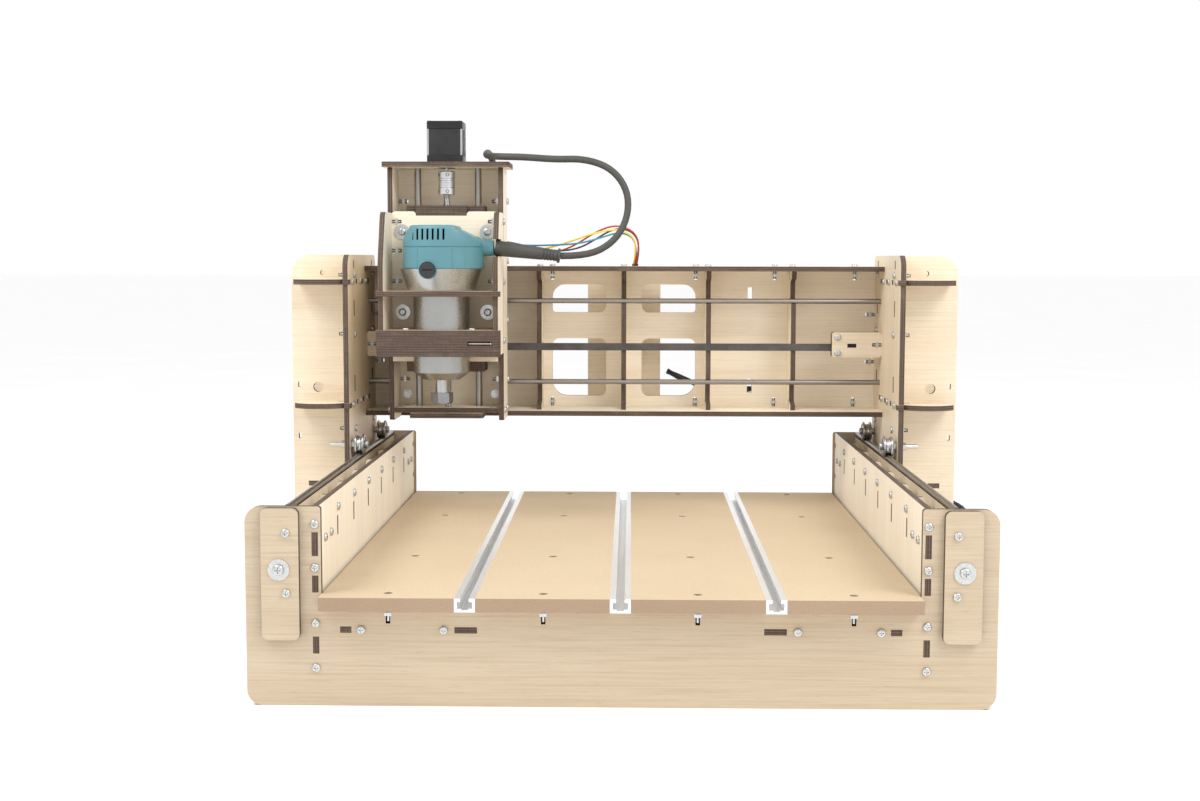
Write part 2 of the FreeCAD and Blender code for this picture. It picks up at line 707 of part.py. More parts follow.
def window(x0, x1, z0, z1, big, small):
    """Window cutter: one large outer corner, the others smaller."""
    corners = [(x0, z0, small), (x1, z0, big[0]), (x1, z1, big[1]), (x0, z1, small)]
    return plate("xz", BACK_PANEL - 1, corners, PLY + 2)


def make_gantry():
    joints = []
    for z in SIDE_SCREWS:
        joints.append(Joint(V(SIDE_IN, TOWER_FACE_Y + PLY / 2, z), RIGHT, BACK))
        joints.append(Joint(V(SIDE_IN, TOWER_BACK_Y + PLY / 2, z), RIGHT, BACK))
    for z in SHELF_LEVELS:
        for y in SHELF_SCREWS:
            joints.append(Joint(V(SIDE_IN, y, z), RIGHT, UP))
    solids, cutters = mirrored(joints)
    fasteners = list(solids)

    shelves = [tower_shelf(z) for z in SHELF_LEVELS]
    mount = slab("xy", MOTOR_SHELF_Z, SIDE_OUT, TOWER_OUT - 6, TOWER_FACE_Y + PLY, TOWER_BACK_Y)
    tab_x = TOWER_OUT - 24
    mount_tabs = [box(tab_x - 7, tab_x + 7, y, y + PLY, MOTOR_SHELF_Z, MOTOR_SHELF_Z + PLY)
                  for y in (TOWER_FACE_Y, TOWER_BACK_Y)]
    tongue = box(SIDE_IN + 1, SIDE_OUT, Y_MOTOR_Y - 24, Y_MOTOR_Y + 24, MOTOR_SHELF_Z, MOTOR_SHELF_Z + PLY)
    mount = cut(join([mount, tongue] + mount_tabs), motor_hole(MOTOR_X, Y_MOTOR_Y, MOTOR_SHELF_Z))

    faces = []
    for y in (TOWER_FACE_Y, TOWER_BACK_Y):
        panel = tower_panel(y)
        tools = list(mount_tabs)
        if y == TOWER_FACE_Y:
            for z in SHELF_LEVELS:
                tools.append(box(SIDE_OUT, SHELF_OUT, y, y + PLY, z - PLY / 2, z + PLY / 2))
            tools.append(cyl(SIDE_OUT + 37, y, 263.0, 6.0, PLY, "y"))
            tools.append(cyl(SIDE_OUT + 30, y, 398.0, 3.2, PLY, "y"))
            for z in (205.0, 266.0):
                tools.append(box(TOWER_OUT - 9, TOWER_OUT - 6, y, y + PLY, z - 3, z + 3))
        faces.append(cut(panel, tools))

    side = side_plate()
    loop_window = box(SIDE_IN, SIDE_OUT, Y_MOTOR_Y - 24, Y_MOTOR_Y + 24, Y_BELT_Z - 9, MOTOR_SHELF_Z + PLY)
    side = cut(side, faces + shelves + [loop_window])

    # belt drive of the Y axis
    belt_low = Y_BELT_Z - BELT_WIDTH / 2
    loop, guides = belt_loop(MOTOR_X - Y_BELT_X, MOTOR_SHELF_Z + PLY - belt_low)
    turn = FreeCAD.Placement(V(MOTOR_X, Y_MOTOR_Y, belt_low), FreeCAD.Rotation(UP, 90))
    for solid in [loop] + guides:
        solid.Placement = turn
    mount = cut(mount, guides)

    # wheels and axles
    wheels = {}
    axle_cuts = []
    for row, z in (("upper", WHEEL_ZS[0]), ("lower", WHEEL_ZS[1])):
        for place, y in zip(("front", "rear"), WHEEL_YS):
            centre = V(RAIL_X, y, z)
            wheels["y_wheels_%s_%s" % (row, place)] = pair(grooved_wheel(centre, RIGHT))
            bolt = axle_bolt(centre, RIGHT, SIDE_IN - RAIL_X, SIDE_OUT - RAIL_X, AXLE_OUT - RAIL_X)
            for piece in bolt:
                fasteners += pair(piece)
            axle_cuts.append(hole(V(SIDE_IN, y, z), RIGHT, PLY, AXLE))
    side = cut(side, axle_cuts)

    # beam
    top = beam_sheet(BEAM_TOP - PLY)
    bottom = beam_sheet(BEAM_BOTTOM)
    low = BEAM_BOTTOM + PLY
    high = BEAM_TOP - PLY
    back = slab("xz", BACK_PANEL, -SIDE_IN, SIDE_IN, low, high)
    holes = []
    for z0, z1, big in ((*WINDOW_LOW, (19, 9)), (*WINDOW_HIGH, (4, 16))):
        one = window(*WINDOW_X, z0, z1, big, 9)
        holes += pair(one)
    for z0, z1 in BACK_SLOTS:
        holes += pair(box(BACK_SLOT_X - 3, BACK_SLOT_X + 3, BACK_PANEL, GANTRY_REAR, z0, z1))
    ribs = []
    rib_xs = [(i - (RIBS - 1) / 2) * RIB_PITCH for i in range(RIBS)]
    for x in rib_xs:
        ribs.append(rib(x, low, high))
    beam_joints = []
    for x in BEAM_SCREWS:
        beam_joints.append(Joint(V(x, BACK_PANEL + PLY / 2, BEAM_TOP), DOWN, BACK))
        beam_joints.append(Joint(V(x, BACK_PANEL + PLY / 2, BEAM_BOTTOM), UP, BACK))
    rib_joints = []
    for x in rib_xs:
        rib_joints.append(Joint(V(x, 225.0, BEAM_TOP), DOWN, RIGHT))
        rib_joints.append(Joint(V(x, 225.0, BEAM_BOTTOM), UP, RIGHT))
    for z in (285.0, 345.0):
        beam_joints.append(Joint(V(SIDE_OUT, BACK_PANEL + PLY / 2, z), LEFT, BACK))
    solids, beam_cuts = mirrored(beam_joints)
    fasteners += solids
    for joint in rib_joints:
        fasteners += joint.solids()
        beam_cuts += joint.cutters
    top = cut(top, beam_cuts)
    bottom = cut(bottom, beam_cuts)
    back = cut(back, holes + beam_cuts)
    ribs = [cut(r, beam_cuts) for r in ribs]
    side = cut(side, cutters + beam_cuts)
    faces = [cut(f, cutters) for f in faces]
    shelves = [cut(s, cutters) for s in shelves]

    rods = [cyl(-SIDE_IN, X_ROD_Y, z, ROD / 2, GANTRY_WIDTH, "x") for z in X_ROD_LEVELS]
    belt = box(-SIDE_IN + 12, SIDE_IN - 12, X_BELT_Y - BELT_THICK / 2, X_BELT_Y + BELT_THICK / 2,
               X_BELT_Z - BELT_WIDTH / 2, X_BELT_Z + BELT_WIDTH / 2)
    anchors = []
    for y in (X_BELT_Y - BELT_THICK / 2 - PLY, X_BELT_Y + BELT_THICK / 2):
        anchors.append(slab("xz", y, SIDE_IN - 61, SIDE_IN, X_BELT_Z + 3.5 - 15.5, X_BELT_Z + 3.5 + 15.5, 3.0))
    anchor_y = anchors[0].BoundBox.YMin
    tools = []
    for x, z in ((SIDE_IN - 54, X_BELT_Z + 13), (SIDE_IN - 54, X_BELT_Z - 6.5)):
        point = V(x, anchor_y, z)
        fasteners += pair(screw(point, BACK, 2 * PLY + BELT_THICK - 0.5))
        tools.append(hole(point, BACK, 2 * PLY + BELT_THICK))
    tools.append(box(SIDE_IN - 42, SIDE_IN - 31, anchor_y, anchor_y + PLY, X_BELT_Z, X_BELT_Z + 5))
    draw = Joint(V(SIDE_OUT, anchor_y + PLY / 2, X_BELT_Z + 3.5), LEFT, BACK)
    fasteners += [s for x in draw.solids() for s in pair(x)]
    anchors = [cut(a, tools + draw.cutters) for a in anchors]
    side = cut(side, draw.cutters)
    anchor_pieces = [p for a in anchors for p in pair(a)]
    anchor_pieces = [a.cut(belt) for a in anchor_pieces]

    # electronics behind the beam
    bay_y = GANTRY_REAR + 34
    panel = slab("xz", bay_y, -47, 47, low, high, 4)
    props = [box(x - PLY / 2, x + PLY / 2, GANTRY_REAR, bay_y, low + 6, high - 6) for x in (-15, 15)]
    board = slab("xz", bay_y + PLY + 6, -40, 40, low + 20, high - 20, 2, 1.6)
    parts = [board]
    for z in (270, 315, 360):
        parts.append(box(-9, 9, bay_y + PLY + 7.6, bay_y + PLY + 19, z - 9, z + 9))
    posts = [cyl(x, bay_y + PLY, z, 2.5, 6, "y") for x in (-35, 35) for z in (low + 26, high - 26)]
    board = join(parts + posts)

    harness = make_harness()

    save("gantry_sides", pair(side))
    save("tower_panels", [p for f in faces for p in pair(f)])
    save("tower_shelves", [p for s in shelves + [mount] for p in pair(s)])
    save("beam_plates", [top, bottom])
    save("beam_back_panel", [back])
    save("beam_ribs", ribs)
    save("x_rods", rods)
    save("gantry_belts", [belt] + pair(loop))
    save("x_belt_anchors", anchor_pieces)
    save("y_motors", pair(motor(MOTOR_X, Y_MOTOR_Y, MOTOR_SHELF_Z + PLY)))
    save("gantry_fasteners", fasteners + [p for s in guides for p in pair(s)])
    save("electronics_panel", [panel] + props)
    save("controller_board", [board])
    save("beam_harness", harness)
    for name, pieces in wheels.items():
        save(name, pieces)
    right_pulley = pulley(MOTOR_X, Y_MOTOR_Y, Y_BELT_Z)
    save("y_pulley_right", [right_pulley])
    save("y_pulley_left", [mirror(right_pulley)])


# ---------------------------------------------------------------- cords
def tube(points, radius):
    """Round cord along straight runs joined by tangent arcs."""
    places = [V(*p) for p in points]
    edges = []
    at = places[0]
    for i in range(1, len(places) - 1):
        into = places[i] - places[i - 1]
        out = places[i + 1] - places[i]
        half = into.getAngle(out) / 2
        bend = 0.45 * min(into.Length, out.Length) / math.tan(half)
        reach = bend * math.tan(half)
        u = V(into).normalize()
        v = V(out).normalize()
        first = places[i] - u * reach
        last = places[i] + v * reach
        inward = (v - u).normalize()
        crown = places[i] + inward * (bend / math.cos(half) - bend)
        edges.append(Part.LineSegment(at, first).toShape())
        edges.append(Part.Arc(first, crown, last).toShape())
        at = last
        print("  bend radius", round(bend, 1), "turn", round(math.degrees(2 * half)))
    edges.append(Part.LineSegment(at, places[-1]).toShape())
    length = sum(e.Length for e in edges)
    spine = Part.Wire(edges)
    start = (places[1] - places[0]).normalize()
    profile = Part.Wire([Part.Circle(places[0], start, radius).toShape()])
    solid = spine.makePipeShell([profile], True, False, 2)
    exact = math.pi * radius * radius * length
    print("  length", round(length, 1), "volume ratio", round(solid.Volume / exact, 4))
    return solid


HARNESS_ROUTE = (
    (374, 271, 66), (374, 272, 112), (371, 271, 158), (360, 271, 202), (330, 271, 236), (286, 271, 252),
    (236, 272, 257), (186, 271, 251), (138, 273, 246), (92, 280, 252), (56, 290, 270),
)


def make_harness():
    """Black motor leads clipped behind the beam, and their coil."""
    lead = tube(HARNESS_ROUTE, 4.0)
    coil = Part.makeTorus(38.0, 7.0, V(412, 271, 66), BACK)
    groove = tube(HARNESS_ROUTE[:4], 4.0 + RUN)
    clips = []
    for x, y, z in (HARNESS_ROUTE[5], HARNESS_ROUTE[7]):
        clips.append(box(x - 5, x + 5, GANTRY_REAR, y - 4 - RUN, z - 5, z + 5))
    return [lead, coil.cut(groove)] + clips


# ---------------------------------------------------------------- carriage
def cx(x):
    return CARRIAGE_X + x


def make_carriage():
    side = slab("yz", cx(C_IN), CARRIAGE_FRONT, CARRIAGE_REAR, CARRIAGE_BOTTOM, CARRIAGE_TOP, 4)
    other = slab("yz", cx(-C_OUT), CARRIAGE_FRONT, CARRIAGE_REAR, CARRIAGE_BOTTOM, CARRIAGE_TOP, 4)
    back = slab("xz", BACK_Y, cx(-C_IN), cx(C_IN), CARRIAGE_DECK + PLY, CARRIAGE_TOP)
    shelf_half = 40.0
    back = back.cut(box(cx(-shelf_half), cx(shelf_half), BACK_Y, CARRIAGE_REAR, X_SHELF_Z - 21, X_SHELF_Z + PLY + 50))
    deck = slab("xy", CARRIAGE_DECK, cx(-C_IN), cx(C_IN), CARRIAGE_FRONT, CARRIAGE_REAR)
    block = slab("xy", CARRIAGE_DECK - PLY, cx(-44), cx(44), CARRIAGE_FRONT - 6, Z_ROD_Y + 10, 4)
    top = slab("xy", CARRIAGE_TOP, cx(-74), cx(76), CARRIAGE_FRONT - 11, CARRIAGE_REAR, 4)
    mount = slab("xy", X_SHELF_Z, cx(-shelf_half), cx(shelf_half), X_MOTOR_Y - MOTOR / 2, X_MOTOR_Y + 11)
    tongue = slab("xy", X_SHELF_Z, cx(-20), cx(20), X_MOTOR_Y, X_BELT_Y - 2.5)
    mount = join([mount, tongue])
    mount = cut(mount, motor_hole(CARRIAGE_X, X_MOTOR_Y, X_SHELF_Z))

    rods = [cyl(cx(s * Z_ROD_PITCH / 2), Z_ROD_Y, CARRIAGE_DECK - PLY, Z_ROD / 2,
                CARRIAGE_TOP + PLY - CARRIAGE_DECK + PLY) for s in (-1, 1)]
    fits = list(rods)
    fits.append(cyl(CARRIAGE_X, SCREW_Y, CARRIAGE_DECK - PLY, LEAD_SCREW / 2 + 0.05, 2 * PLY))
    deck = cut(deck, fits)
    block = cut(block, fits)
    top = cut(top, rods + motor_hole(CARRIAGE_X, SCREW_Y, CARRIAGE_TOP))

    fasteners = []
    tools = []
    joints = []
    for y in (126.0, 160.0):
        joints.append(Joint(V(C_OUT, y, CARRIAGE_DECK + PLY / 2), LEFT, UP))
    for z in (268.0, 340.0, 412.0, 484.0):
        joints.append(Joint(V(C_OUT, BACK_Y + PLY / 2, z), LEFT, BACK))
    solids, cutters = mirrored(joints)
    move = V(CARRIAGE_X, 0, 0)
    for shape in solids + cutters:
        shape.translate(move)
    fasteners += solids
    tools += cutters

    # wheels on the X rods
    wheels = {}
    for row, z in (("upper", X_ROD_LEVELS[1] + WHEEL_REACH), ("lower", X_ROD_LEVELS[0] - WHEEL_REACH)):
        for place, x in (("left", -54.0), ("right", 54.0)):
            centre = V(cx(x), X_ROD_Y, z)
            wheels["x_wheel_%s_%s" % (row, place)] = [grooved_wheel(centre, FORE)]
            reach = X_ROD_Y - CARRIAGE_REAR
            fasteners += axle_bolt(centre, FORE, reach, reach + PLY, reach + PLY + 9)
            tools.append(hole(V(cx(x), BACK_Y, z), BACK, PLY, AXLE))
    back = cut(back, tools)
    side = cut(side, tools)
    other = cut(other, tools)
    deck = cut(deck, cutters)

    loop, pins = belt_loop(X_BELT_Y - X_MOTOR_Y, X_SHELF_Z + PLY - X_BELT_Z + BELT_WIDTH / 2)
    spot = FreeCAD.Placement(V(CARRIAGE_X, X_MOTOR_Y, X_BELT_Z - BELT_WIDTH / 2), FreeCAD.Rotation())
    for solid in [loop] + pins:
        solid.Placement = spot
    mount = cut(mount, pins)

    save("carriage_frame", [side, other, back, deck, block, mount])
    save("carriage_top_plate", [top])
    save("z_rods", rods)
    save("z_motor", [motor(CARRIAGE_X, SCREW_Y, Z_FACE)])
    save("x_motor", [motor(CARRIAGE_X, X_MOTOR_Y, X_SHELF_Z + PLY)])
    save("x_belt_loop", [loop])
    save("carriage_fasteners", fasteners + pins)
    save("x_pulley", [pulley(CARRIAGE_X, X_MOTOR_Y, X_BELT_Z)])
    for name, pieces in wheels.items():
        save(name, pieces)


# ---------------------------------------------------------------- lead screw
def make_lead_screw():
    low = CARRIAGE_DECK - PLY
    top = Z_FACE - 25
    body = cyl(CARRIAGE_X, SCREW_Y, low, LEAD_SCREW / 2, top - low)
    save("lead_screw", [body])
    coupler = cyl(CARRIAGE_X, SCREW_Y, 490, 10.0, 28.0)
    coupler = coupler.cut([
        cyl(CARRIAGE_X, SCREW_Y, 490, LEAD_SCREW / 2, top - 490),
        cyl(CARRIAGE_X, SCREW_Y, top, 2.52, 40),
    ])
    save("shaft_coupler", [coupler])


# ---------------------------------------------------------------- slider and router
SHELF_HIGH = 465.0
SHELF_LOW = 281.0
SHELF_THICK = 2 * PLY
BEARING = 15.0
BEARING_LONG = 24.0
WASHER_X = 50.5
WASHER_ZS = (351.5, 446.0)
LIP = 2.0                  # clamp layers stand out past the side plates
LIP_DEPTH = 12.0
FLARE_LOW = RING_Z + PLY + 0.1
FLARE_TOP = 403.0
HOUSING_TOP = 452.7
HOUSING_BACK = 36.0        # from the router's axis to its flat back
NOSE = 259.0
BOOT_START = V(CARRIAGE_X + 62.4, 73, 427)
BOOT_END = V(-73.6, 80, 418)
CAP = 8.8                  # radius of the brush caps
CAP_X = -10.0              # from the router's axis
CAP_Z = 402.0


def clamp_layer(z):
    """Sheet round the router between the side plates, its front lip outside them."""
    front = CLAMP_FRONT
    neck = SLIDER_FRONT + LIP_DEPTH
    wide = C_OUT + LIP
    corners = [
        (cx(-wide), front, 2), (cx(wide), front, 2), (cx(wide), neck, 0), (cx(C_IN), neck, 0),
        (cx(C_IN), SLIDER_BACK, 0), (cx(-C_IN), SLIDER_BACK, 0), (cx(-C_IN), neck, 0), (cx(-wide), neck, 0),
    ]
    return plate("xy", z, corners)


def make_slider():
    ring = clamp_layer(RING_Z).cut(cyl(CARRIAGE_X, ROUTER_Y, RING_Z - 1, BARREL / 2 + 0.2, PLY + 2))
    barrel_hole = cyl(CARRIAGE_X, ROUTER_Y, SLIDER_BOTTOM, BARREL / 2 + SNUG, CLAMP_TOP - SLIDER_BOTTOM)
    slit = box(CARRIAGE_X, cx(C_IN), ROUTER_Y - 1.5, ROUTER_Y + 1.5, SLIDER_BOTTOM, CLAMP_TOP)
    middle = SLIDER_BOTTOM + PLY * 2
    draw_slot = box(cx(34), cx(62), CLAMP_FRONT, CLAMP_FRONT + 8, middle + 0.5, middle + PLY - 0.5)
    draw_screw = screw(V(cx(60), CLAMP_FRONT + 3.2, middle + PLY / 2), LEFT, 25.0, 2.4, 2.4)
    layers = [clamp_layer(SLIDER_BOTTOM + PLY * i) for i in range(CLAMP_LAYERS)]
    layers = [cut(layer, [barrel_hole, slit, draw_slot]) for layer in layers]

    sides = []
    for x in (cx(-C_OUT), cx(C_IN)):
        corners = [
            (SLIDER_FRONT, SLIDER_BOTTOM, 0), (SLIDER_REAR, SLIDER_BOTTOM, 0), (SLIDER_REAR, SLIDER_TOP, 3),
            (SLIDER_FRONT + 22, SLIDER_TOP, 12), (SLIDER_FRONT, SLIDER_TOP - 60, 50),
        ]
        sides.append(plate("yz", x, corners))
    cord_notch = box(cx(C_IN), cx(C_OUT), SLIDER_FRONT - 1, BOOT_START.y + 10, BOOT_START.z - 10, BOOT_START.z + 10)
    notch = box(cx(-C_OUT - 5), cx(C_OUT + 5), SLIDER_FRONT - 1, SLIDER_FRONT + LIP_DEPTH, RING_Z, RING_Z + PLY)
    stack = box(cx(-C_OUT - 5), cx(C_OUT + 5), SLIDER_FRONT - 1, SLIDER_FRONT + LIP_DEPTH, SLIDER_BOTTOM, CLAMP_TOP)

    low = SHELF_LOW + SHELF_THICK
    horn = 34.0
    corners = [
        (cx(-C_IN), low, 0), (cx(C_IN), low, 0), (cx(C_IN), SHELF_HIGH + 5, 4), (cx(horn - 8), SHELF_HIGH + 5, 4),
        (cx(horn - 8), SHELF_HIGH, 0), (cx(-horn), SHELF_HIGH, 0), (cx(-horn), SHELF_HIGH + 5, 4),
        (cx(-C_IN), SHELF_HIGH + 5, 4),
    ]
    back = plate("xz", SLIDER_BACK, corners)
    shelves = []
    bearings = []
    for z, start in ((SHELF_LOW, SHELF_LOW), (SHELF_HIGH, SHELF_HIGH + SHELF_THICK - BEARING_LONG)):
        wide = Z_ROD_PITCH / 2 + BEARING / 2 + 2.5
        near = SLIDER_BACK if z == SHELF_LOW else SLIDER_REAR
        shelf = slab("xy", z, cx(-wide), cx(wide), near, Z_ROD_Y + BEARING / 2 + 2, 2, SHELF_THICK)
        if z == SHELF_HIGH:
            shelf = shelf.fuse(box(cx(-horn), cx(horn - 8), SLIDER_BACK, SLIDER_REAR + 3, z, z + SHELF_THICK))
            shelf = shelf.removeSplitter()
        radius = 13.0 if z == SHELF_HIGH else 5.1
        tools = [cyl(CARRIAGE_X, SCREW_Y, z, radius, SHELF_THICK)]
        for s in (-1, 1):
            x = cx(s * Z_ROD_PITCH / 2)
            outer = cyl(x, Z_ROD_Y, start, BEARING / 2, BEARING_LONG)
            bearings.append(outer.cut(cyl(x, Z_ROD_Y, start, Z_ROD / 2 + 0.02, BEARING_LONG)))
            tools.append(cyl(x, Z_ROD_Y, z, BEARING / 2, SHELF_THICK))
        shelves.append(cut(shelf, tools))
    nut = join([cyl(CARRIAGE_X, SCREW_Y, SHELF_LOW, 5.1, SHELF_THICK + 3.5),
                cyl(CARRIAGE_X, SCREW_Y, low, 11.0, 3.5)])
    nut = nut.cut(cyl(CARRIAGE_X, SCREW_Y, SHELF_LOW, LEAD_SCREW / 2 + 0.05, 20))

    joints = []
    for z in (318.0, 388.0, 424.0, 458.0):
        joints.append(Joint(V(C_OUT, SLIDER_BACK + PLY / 2, z), LEFT, BACK))
    solids, tools = mirrored(joints)
    move = V(CARRIAGE_X, 0, 0)
    for shape in solids + tools:
        shape.translate(move)
    for z in WASHER_ZS:
        for x in (-WASHER_X, WASHER_X):
            point = V(cx(x), SLIDER_BACK, z)
            solids.append(screw(point + FORE * 1.2, BACK, PLY + 1.2, 4.4, AXLE))
            solids.append(washer(point, FORE, 9.0, AXLE / 2 + GAP))
            tools.append(hole(point, BACK, PLY, AXLE))
    for x in (-38.0, 38.0):
        point = V(cx(x), SLIDER_FRONT + 8, CLAMP_TOP)
        solids.append(screw(point, DOWN, CLAMP_LAYERS * PLY - 1, 3.8, SCREW))
        bore = hole(point, DOWN, CLAMP_LAYERS * PLY, SCREW)
        layers = [cut(layer, [bore]) for layer in layers]
    layers = [cut(layer, tools) for layer in layers]
    sides = [cut(side, [notch, stack, cord_notch] + tools) for side in sides]
    back = cut(back, tools)

    save("slider_box", sides + [back] + shelves)
    save("ring_plate", [ring])
    save("router_clamp", layers)
    save("slider_fasteners", solids + bearings + [nut, draw_screw])


def spun(profile):
    """Solid of revolution about the router's axis from (radius, z) points."""
    points = [V(CARRIAGE_X + r, ROUTER_Y, z) for r, z in profile]
    face = Part.Face(Part.makePolygon(points + points[:1]))
    return face.revolve(V(CARRIAGE_X, ROUTER_Y, 0), UP, 360)


def make_router():
    """Trim router: cast barrel, moulded top, spindle, collet nut and brushes."""
    tight = BARREL / 2
    flat = box(CARRIAGE_X - 80, CARRIAGE_X + 80, ROUTER_Y + HOUSING_BACK, ROUTER_Y + 90, 250, 480)
    barrel = spun([
        (11, 275), (21.5, 275), (tight, 283.5), (tight, FLARE_LOW), (38.5, FLARE_LOW), (47, FLARE_TOP),
        (43, FLARE_TOP), (34, FLARE_LOW), (27, FLARE_LOW - 8), (27, 291), (11, 291),
    ]).cut(flat)
    spindle = spun([
        (0, NOSE - 4), (7.5, NOSE - 4), (7.5, 275), (10.96, 275), (10.96, 291), (7, 296), (7, 310),
        (20, 312), (20, 366), (7, 368), (7, 440), (0, 440),
    ])
    nut = hex_prism(13.0, 13.0)
    nut.Placement = FreeCAD.Placement(V(CARRIAGE_X, ROUTER_Y, NOSE - 13), FreeCAD.Rotation(UP, 15))
    rounding = spun([(0, NOSE - 13), (10.6, NOSE - 13), (13.2, NOSE - 10.5), (13.2, NOSE), (0, NOSE)])
    nut = nut.common(rounding).cut(cyl(CARRIAGE_X, ROUTER_Y, NOSE - 4, 7.52, 10))
    nut = nut.cut(cyl(CARRIAGE_X, ROUTER_Y, NOSE - 13, 3.2, 10))

    top = FLARE_TOP
    front = [
        (cx(-44), top, 0), (cx(50), top, 0), (cx(50), top + 26, 10), (cx(20), HOUSING_TOP, 12),
        (cx(-34), HOUSING_TOP, 12), (cx(-44), top + 30, 12),
    ]
    body = plate("xz", ROUTER_Y - 47, front, 47 + HOUSING_BACK)
    round_plan = cyl(CARRIAGE_X + 3, ROUTER_Y, top, 47.0, 60)
    hollow = cyl(CARRIAGE_X + 3, ROUTER_Y - 2, top, 33.0, 40)
    neck = cyl(cx(38), ROUTER_Y, BOOT_START.z, 9.0, 23, "x")
    body = join([body.common(round_plan), neck]).cut(hollow)
    boss_y = ROUTER_Y - 48.5
    boss = cyl(cx(CAP_X), boss_y, CAP_Z, CAP + 1.7, 16, "y")
    pit = cyl(cx(CAP_X), boss_y, CAP_Z, CAP + 0.2, 14, "y")
    body = join([body, boss]).cut(pit)
    barrel = barrel.cut(cyl(cx(CAP_X), boss_y, CAP_Z, CAP + 1.8, 17, "y"))
    cap = cyl(cx(CAP_X), boss_y - 1, CAP_Z, CAP, 15, "y")
    cap = cap.cut(box(cx(CAP_X - 6), cx(CAP_X + 6), boss_y - 1, boss_y + 1, CAP_Z - 1, CAP_Z + 1))

    save("router_barrel", [barrel])
    save("router_housing", [body])
    save("brush_cap", [cap])
    save("router_spindle", [spindle])
    save("collet_nut", [nut])


# ---------------------------------------------------------------- router cord and carriage wires
CORD = 8.0
CORD_ROUTE = (
    (-73.3, 80.03, 418), (-41.7, 82.9, 417.6), (-11, 88, 434), (5, 92, 462), (5, 96, 494), (-14, 98, 520),
    (-46, 100, 531), (-80, 99, 530), (-116, 101, 533), (-149, 110, 534), (-166, 138, 537),
    (-164, 176, 545), (-158, 199, 521), (-155, 193, 490), (-154, 188, 466),
)
COIL_CENTRE = V(CARRIAGE_X + 5, 188.3, 466)
COIL_OUT = 56.0
COIL_IN = 32.0
COIL_DEEP = 24.0
WIRE_ROUTE = (
    (-155, 175, 434), (-155, 192, 434), (-140, 207, 431), (-112, 213, 426), (-84, 216, 427),
    (-58, 219, 433), (-34, 224, 444), (-9, 233, 453), (12, 247, 446), (18, 263, 428), (14, 272, 408),
)


def make_cords():
    way = (BOOT_END - BOOT_START).normalize()
    long = (BOOT_END - BOOT_START).Length
    boot = Part.makeCone(9.0, 6.5, long - 3)
    flange = Part.makeCylinder(8.5, 3, V(0, 0, long - 3))
    save("cord_boot", [placed(join([boot, flange]), BOOT_START, way)])
    cord = tube(CORD_ROUTE, CORD / 2)
    save("router_cord", [cord])
    start = COIL_CENTRE - BACK * (COIL_DEEP / 2)
    ring = Part.makeCylinder(COIL_OUT, COIL_DEEP, start, BACK).cut(
        Part.makeCylinder(COIL_IN, COIL_DEEP, start, BACK))
    lead_in = tube(CORD_ROUTE[-4:], CORD / 2 + RUN)
    end = V(*CORD_ROUTE[-1])
    lead_in = lead_in.fuse(Part.makeCylinder(CORD / 2 + RUN, 1.0, end, DOWN))
    save("cord_coil", [ring.cut(lead_in)])
    rear = COIL_CENTRE.y + COIL_DEEP / 2 + RUN
    middle = COIL_CENTRE.z - (COIL_OUT + COIL_IN) / 2
    plug = slab("xz", rear, cx(-20), cx(20), middle - 11, middle + 11, 6, 18)
    pin = 18.0
    pins = [cyl(cx(-20 - pin), rear + 9, z, 2.2, pin, "x") for z in (middle - 6.3, middle + 6.3)]
    save("cord_plug", [join([plug] + pins)])
    save("carriage_wiring", [tube(WIRE_ROUTE, 3.0)])


if __name__ == "__main__":
    os.makedirs("parts", exist_ok=True)
    make_base()
    make_gantry()
    make_carriage()
    make_lead_screw()
    make_slider()
    make_router()
    make_cords()
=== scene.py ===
"""Desktop three-axis CNC router: what is seen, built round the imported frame."""
import json
import math
import random

import bmesh
import bpy
from mathutils import Matrix, Vector

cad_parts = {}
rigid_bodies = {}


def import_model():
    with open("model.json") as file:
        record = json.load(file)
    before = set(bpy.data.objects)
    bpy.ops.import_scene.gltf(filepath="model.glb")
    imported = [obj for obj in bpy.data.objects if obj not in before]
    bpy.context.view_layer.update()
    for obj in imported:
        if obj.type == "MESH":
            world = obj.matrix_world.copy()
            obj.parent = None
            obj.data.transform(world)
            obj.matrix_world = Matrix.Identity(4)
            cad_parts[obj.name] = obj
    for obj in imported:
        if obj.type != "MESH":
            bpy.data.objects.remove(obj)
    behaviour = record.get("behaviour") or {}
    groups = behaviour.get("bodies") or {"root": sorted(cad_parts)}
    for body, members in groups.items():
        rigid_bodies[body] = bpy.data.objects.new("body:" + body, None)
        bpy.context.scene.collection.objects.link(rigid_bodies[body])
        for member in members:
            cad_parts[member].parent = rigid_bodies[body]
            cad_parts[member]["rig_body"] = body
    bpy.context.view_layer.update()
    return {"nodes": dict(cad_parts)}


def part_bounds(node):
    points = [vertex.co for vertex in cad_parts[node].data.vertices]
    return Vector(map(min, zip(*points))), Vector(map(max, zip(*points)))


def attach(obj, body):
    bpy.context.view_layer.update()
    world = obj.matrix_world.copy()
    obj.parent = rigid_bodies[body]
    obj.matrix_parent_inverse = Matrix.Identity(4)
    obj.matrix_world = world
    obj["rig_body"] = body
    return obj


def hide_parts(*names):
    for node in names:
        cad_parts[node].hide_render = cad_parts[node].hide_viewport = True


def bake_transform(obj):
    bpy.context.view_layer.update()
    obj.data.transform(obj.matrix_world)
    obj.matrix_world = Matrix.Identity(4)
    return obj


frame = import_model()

MM = 0.001                # one millimetre, in metres
TURN = 2 * math.pi


def mm(x, y, z):
    """A place given in millimetres, as metres."""
    return Vector((x, y, z)) * MM


def add_object(name, data):
    piece = bpy.data.objects.new(name, data)
    bpy.context.scene.collection.objects.link(piece)
    return piece


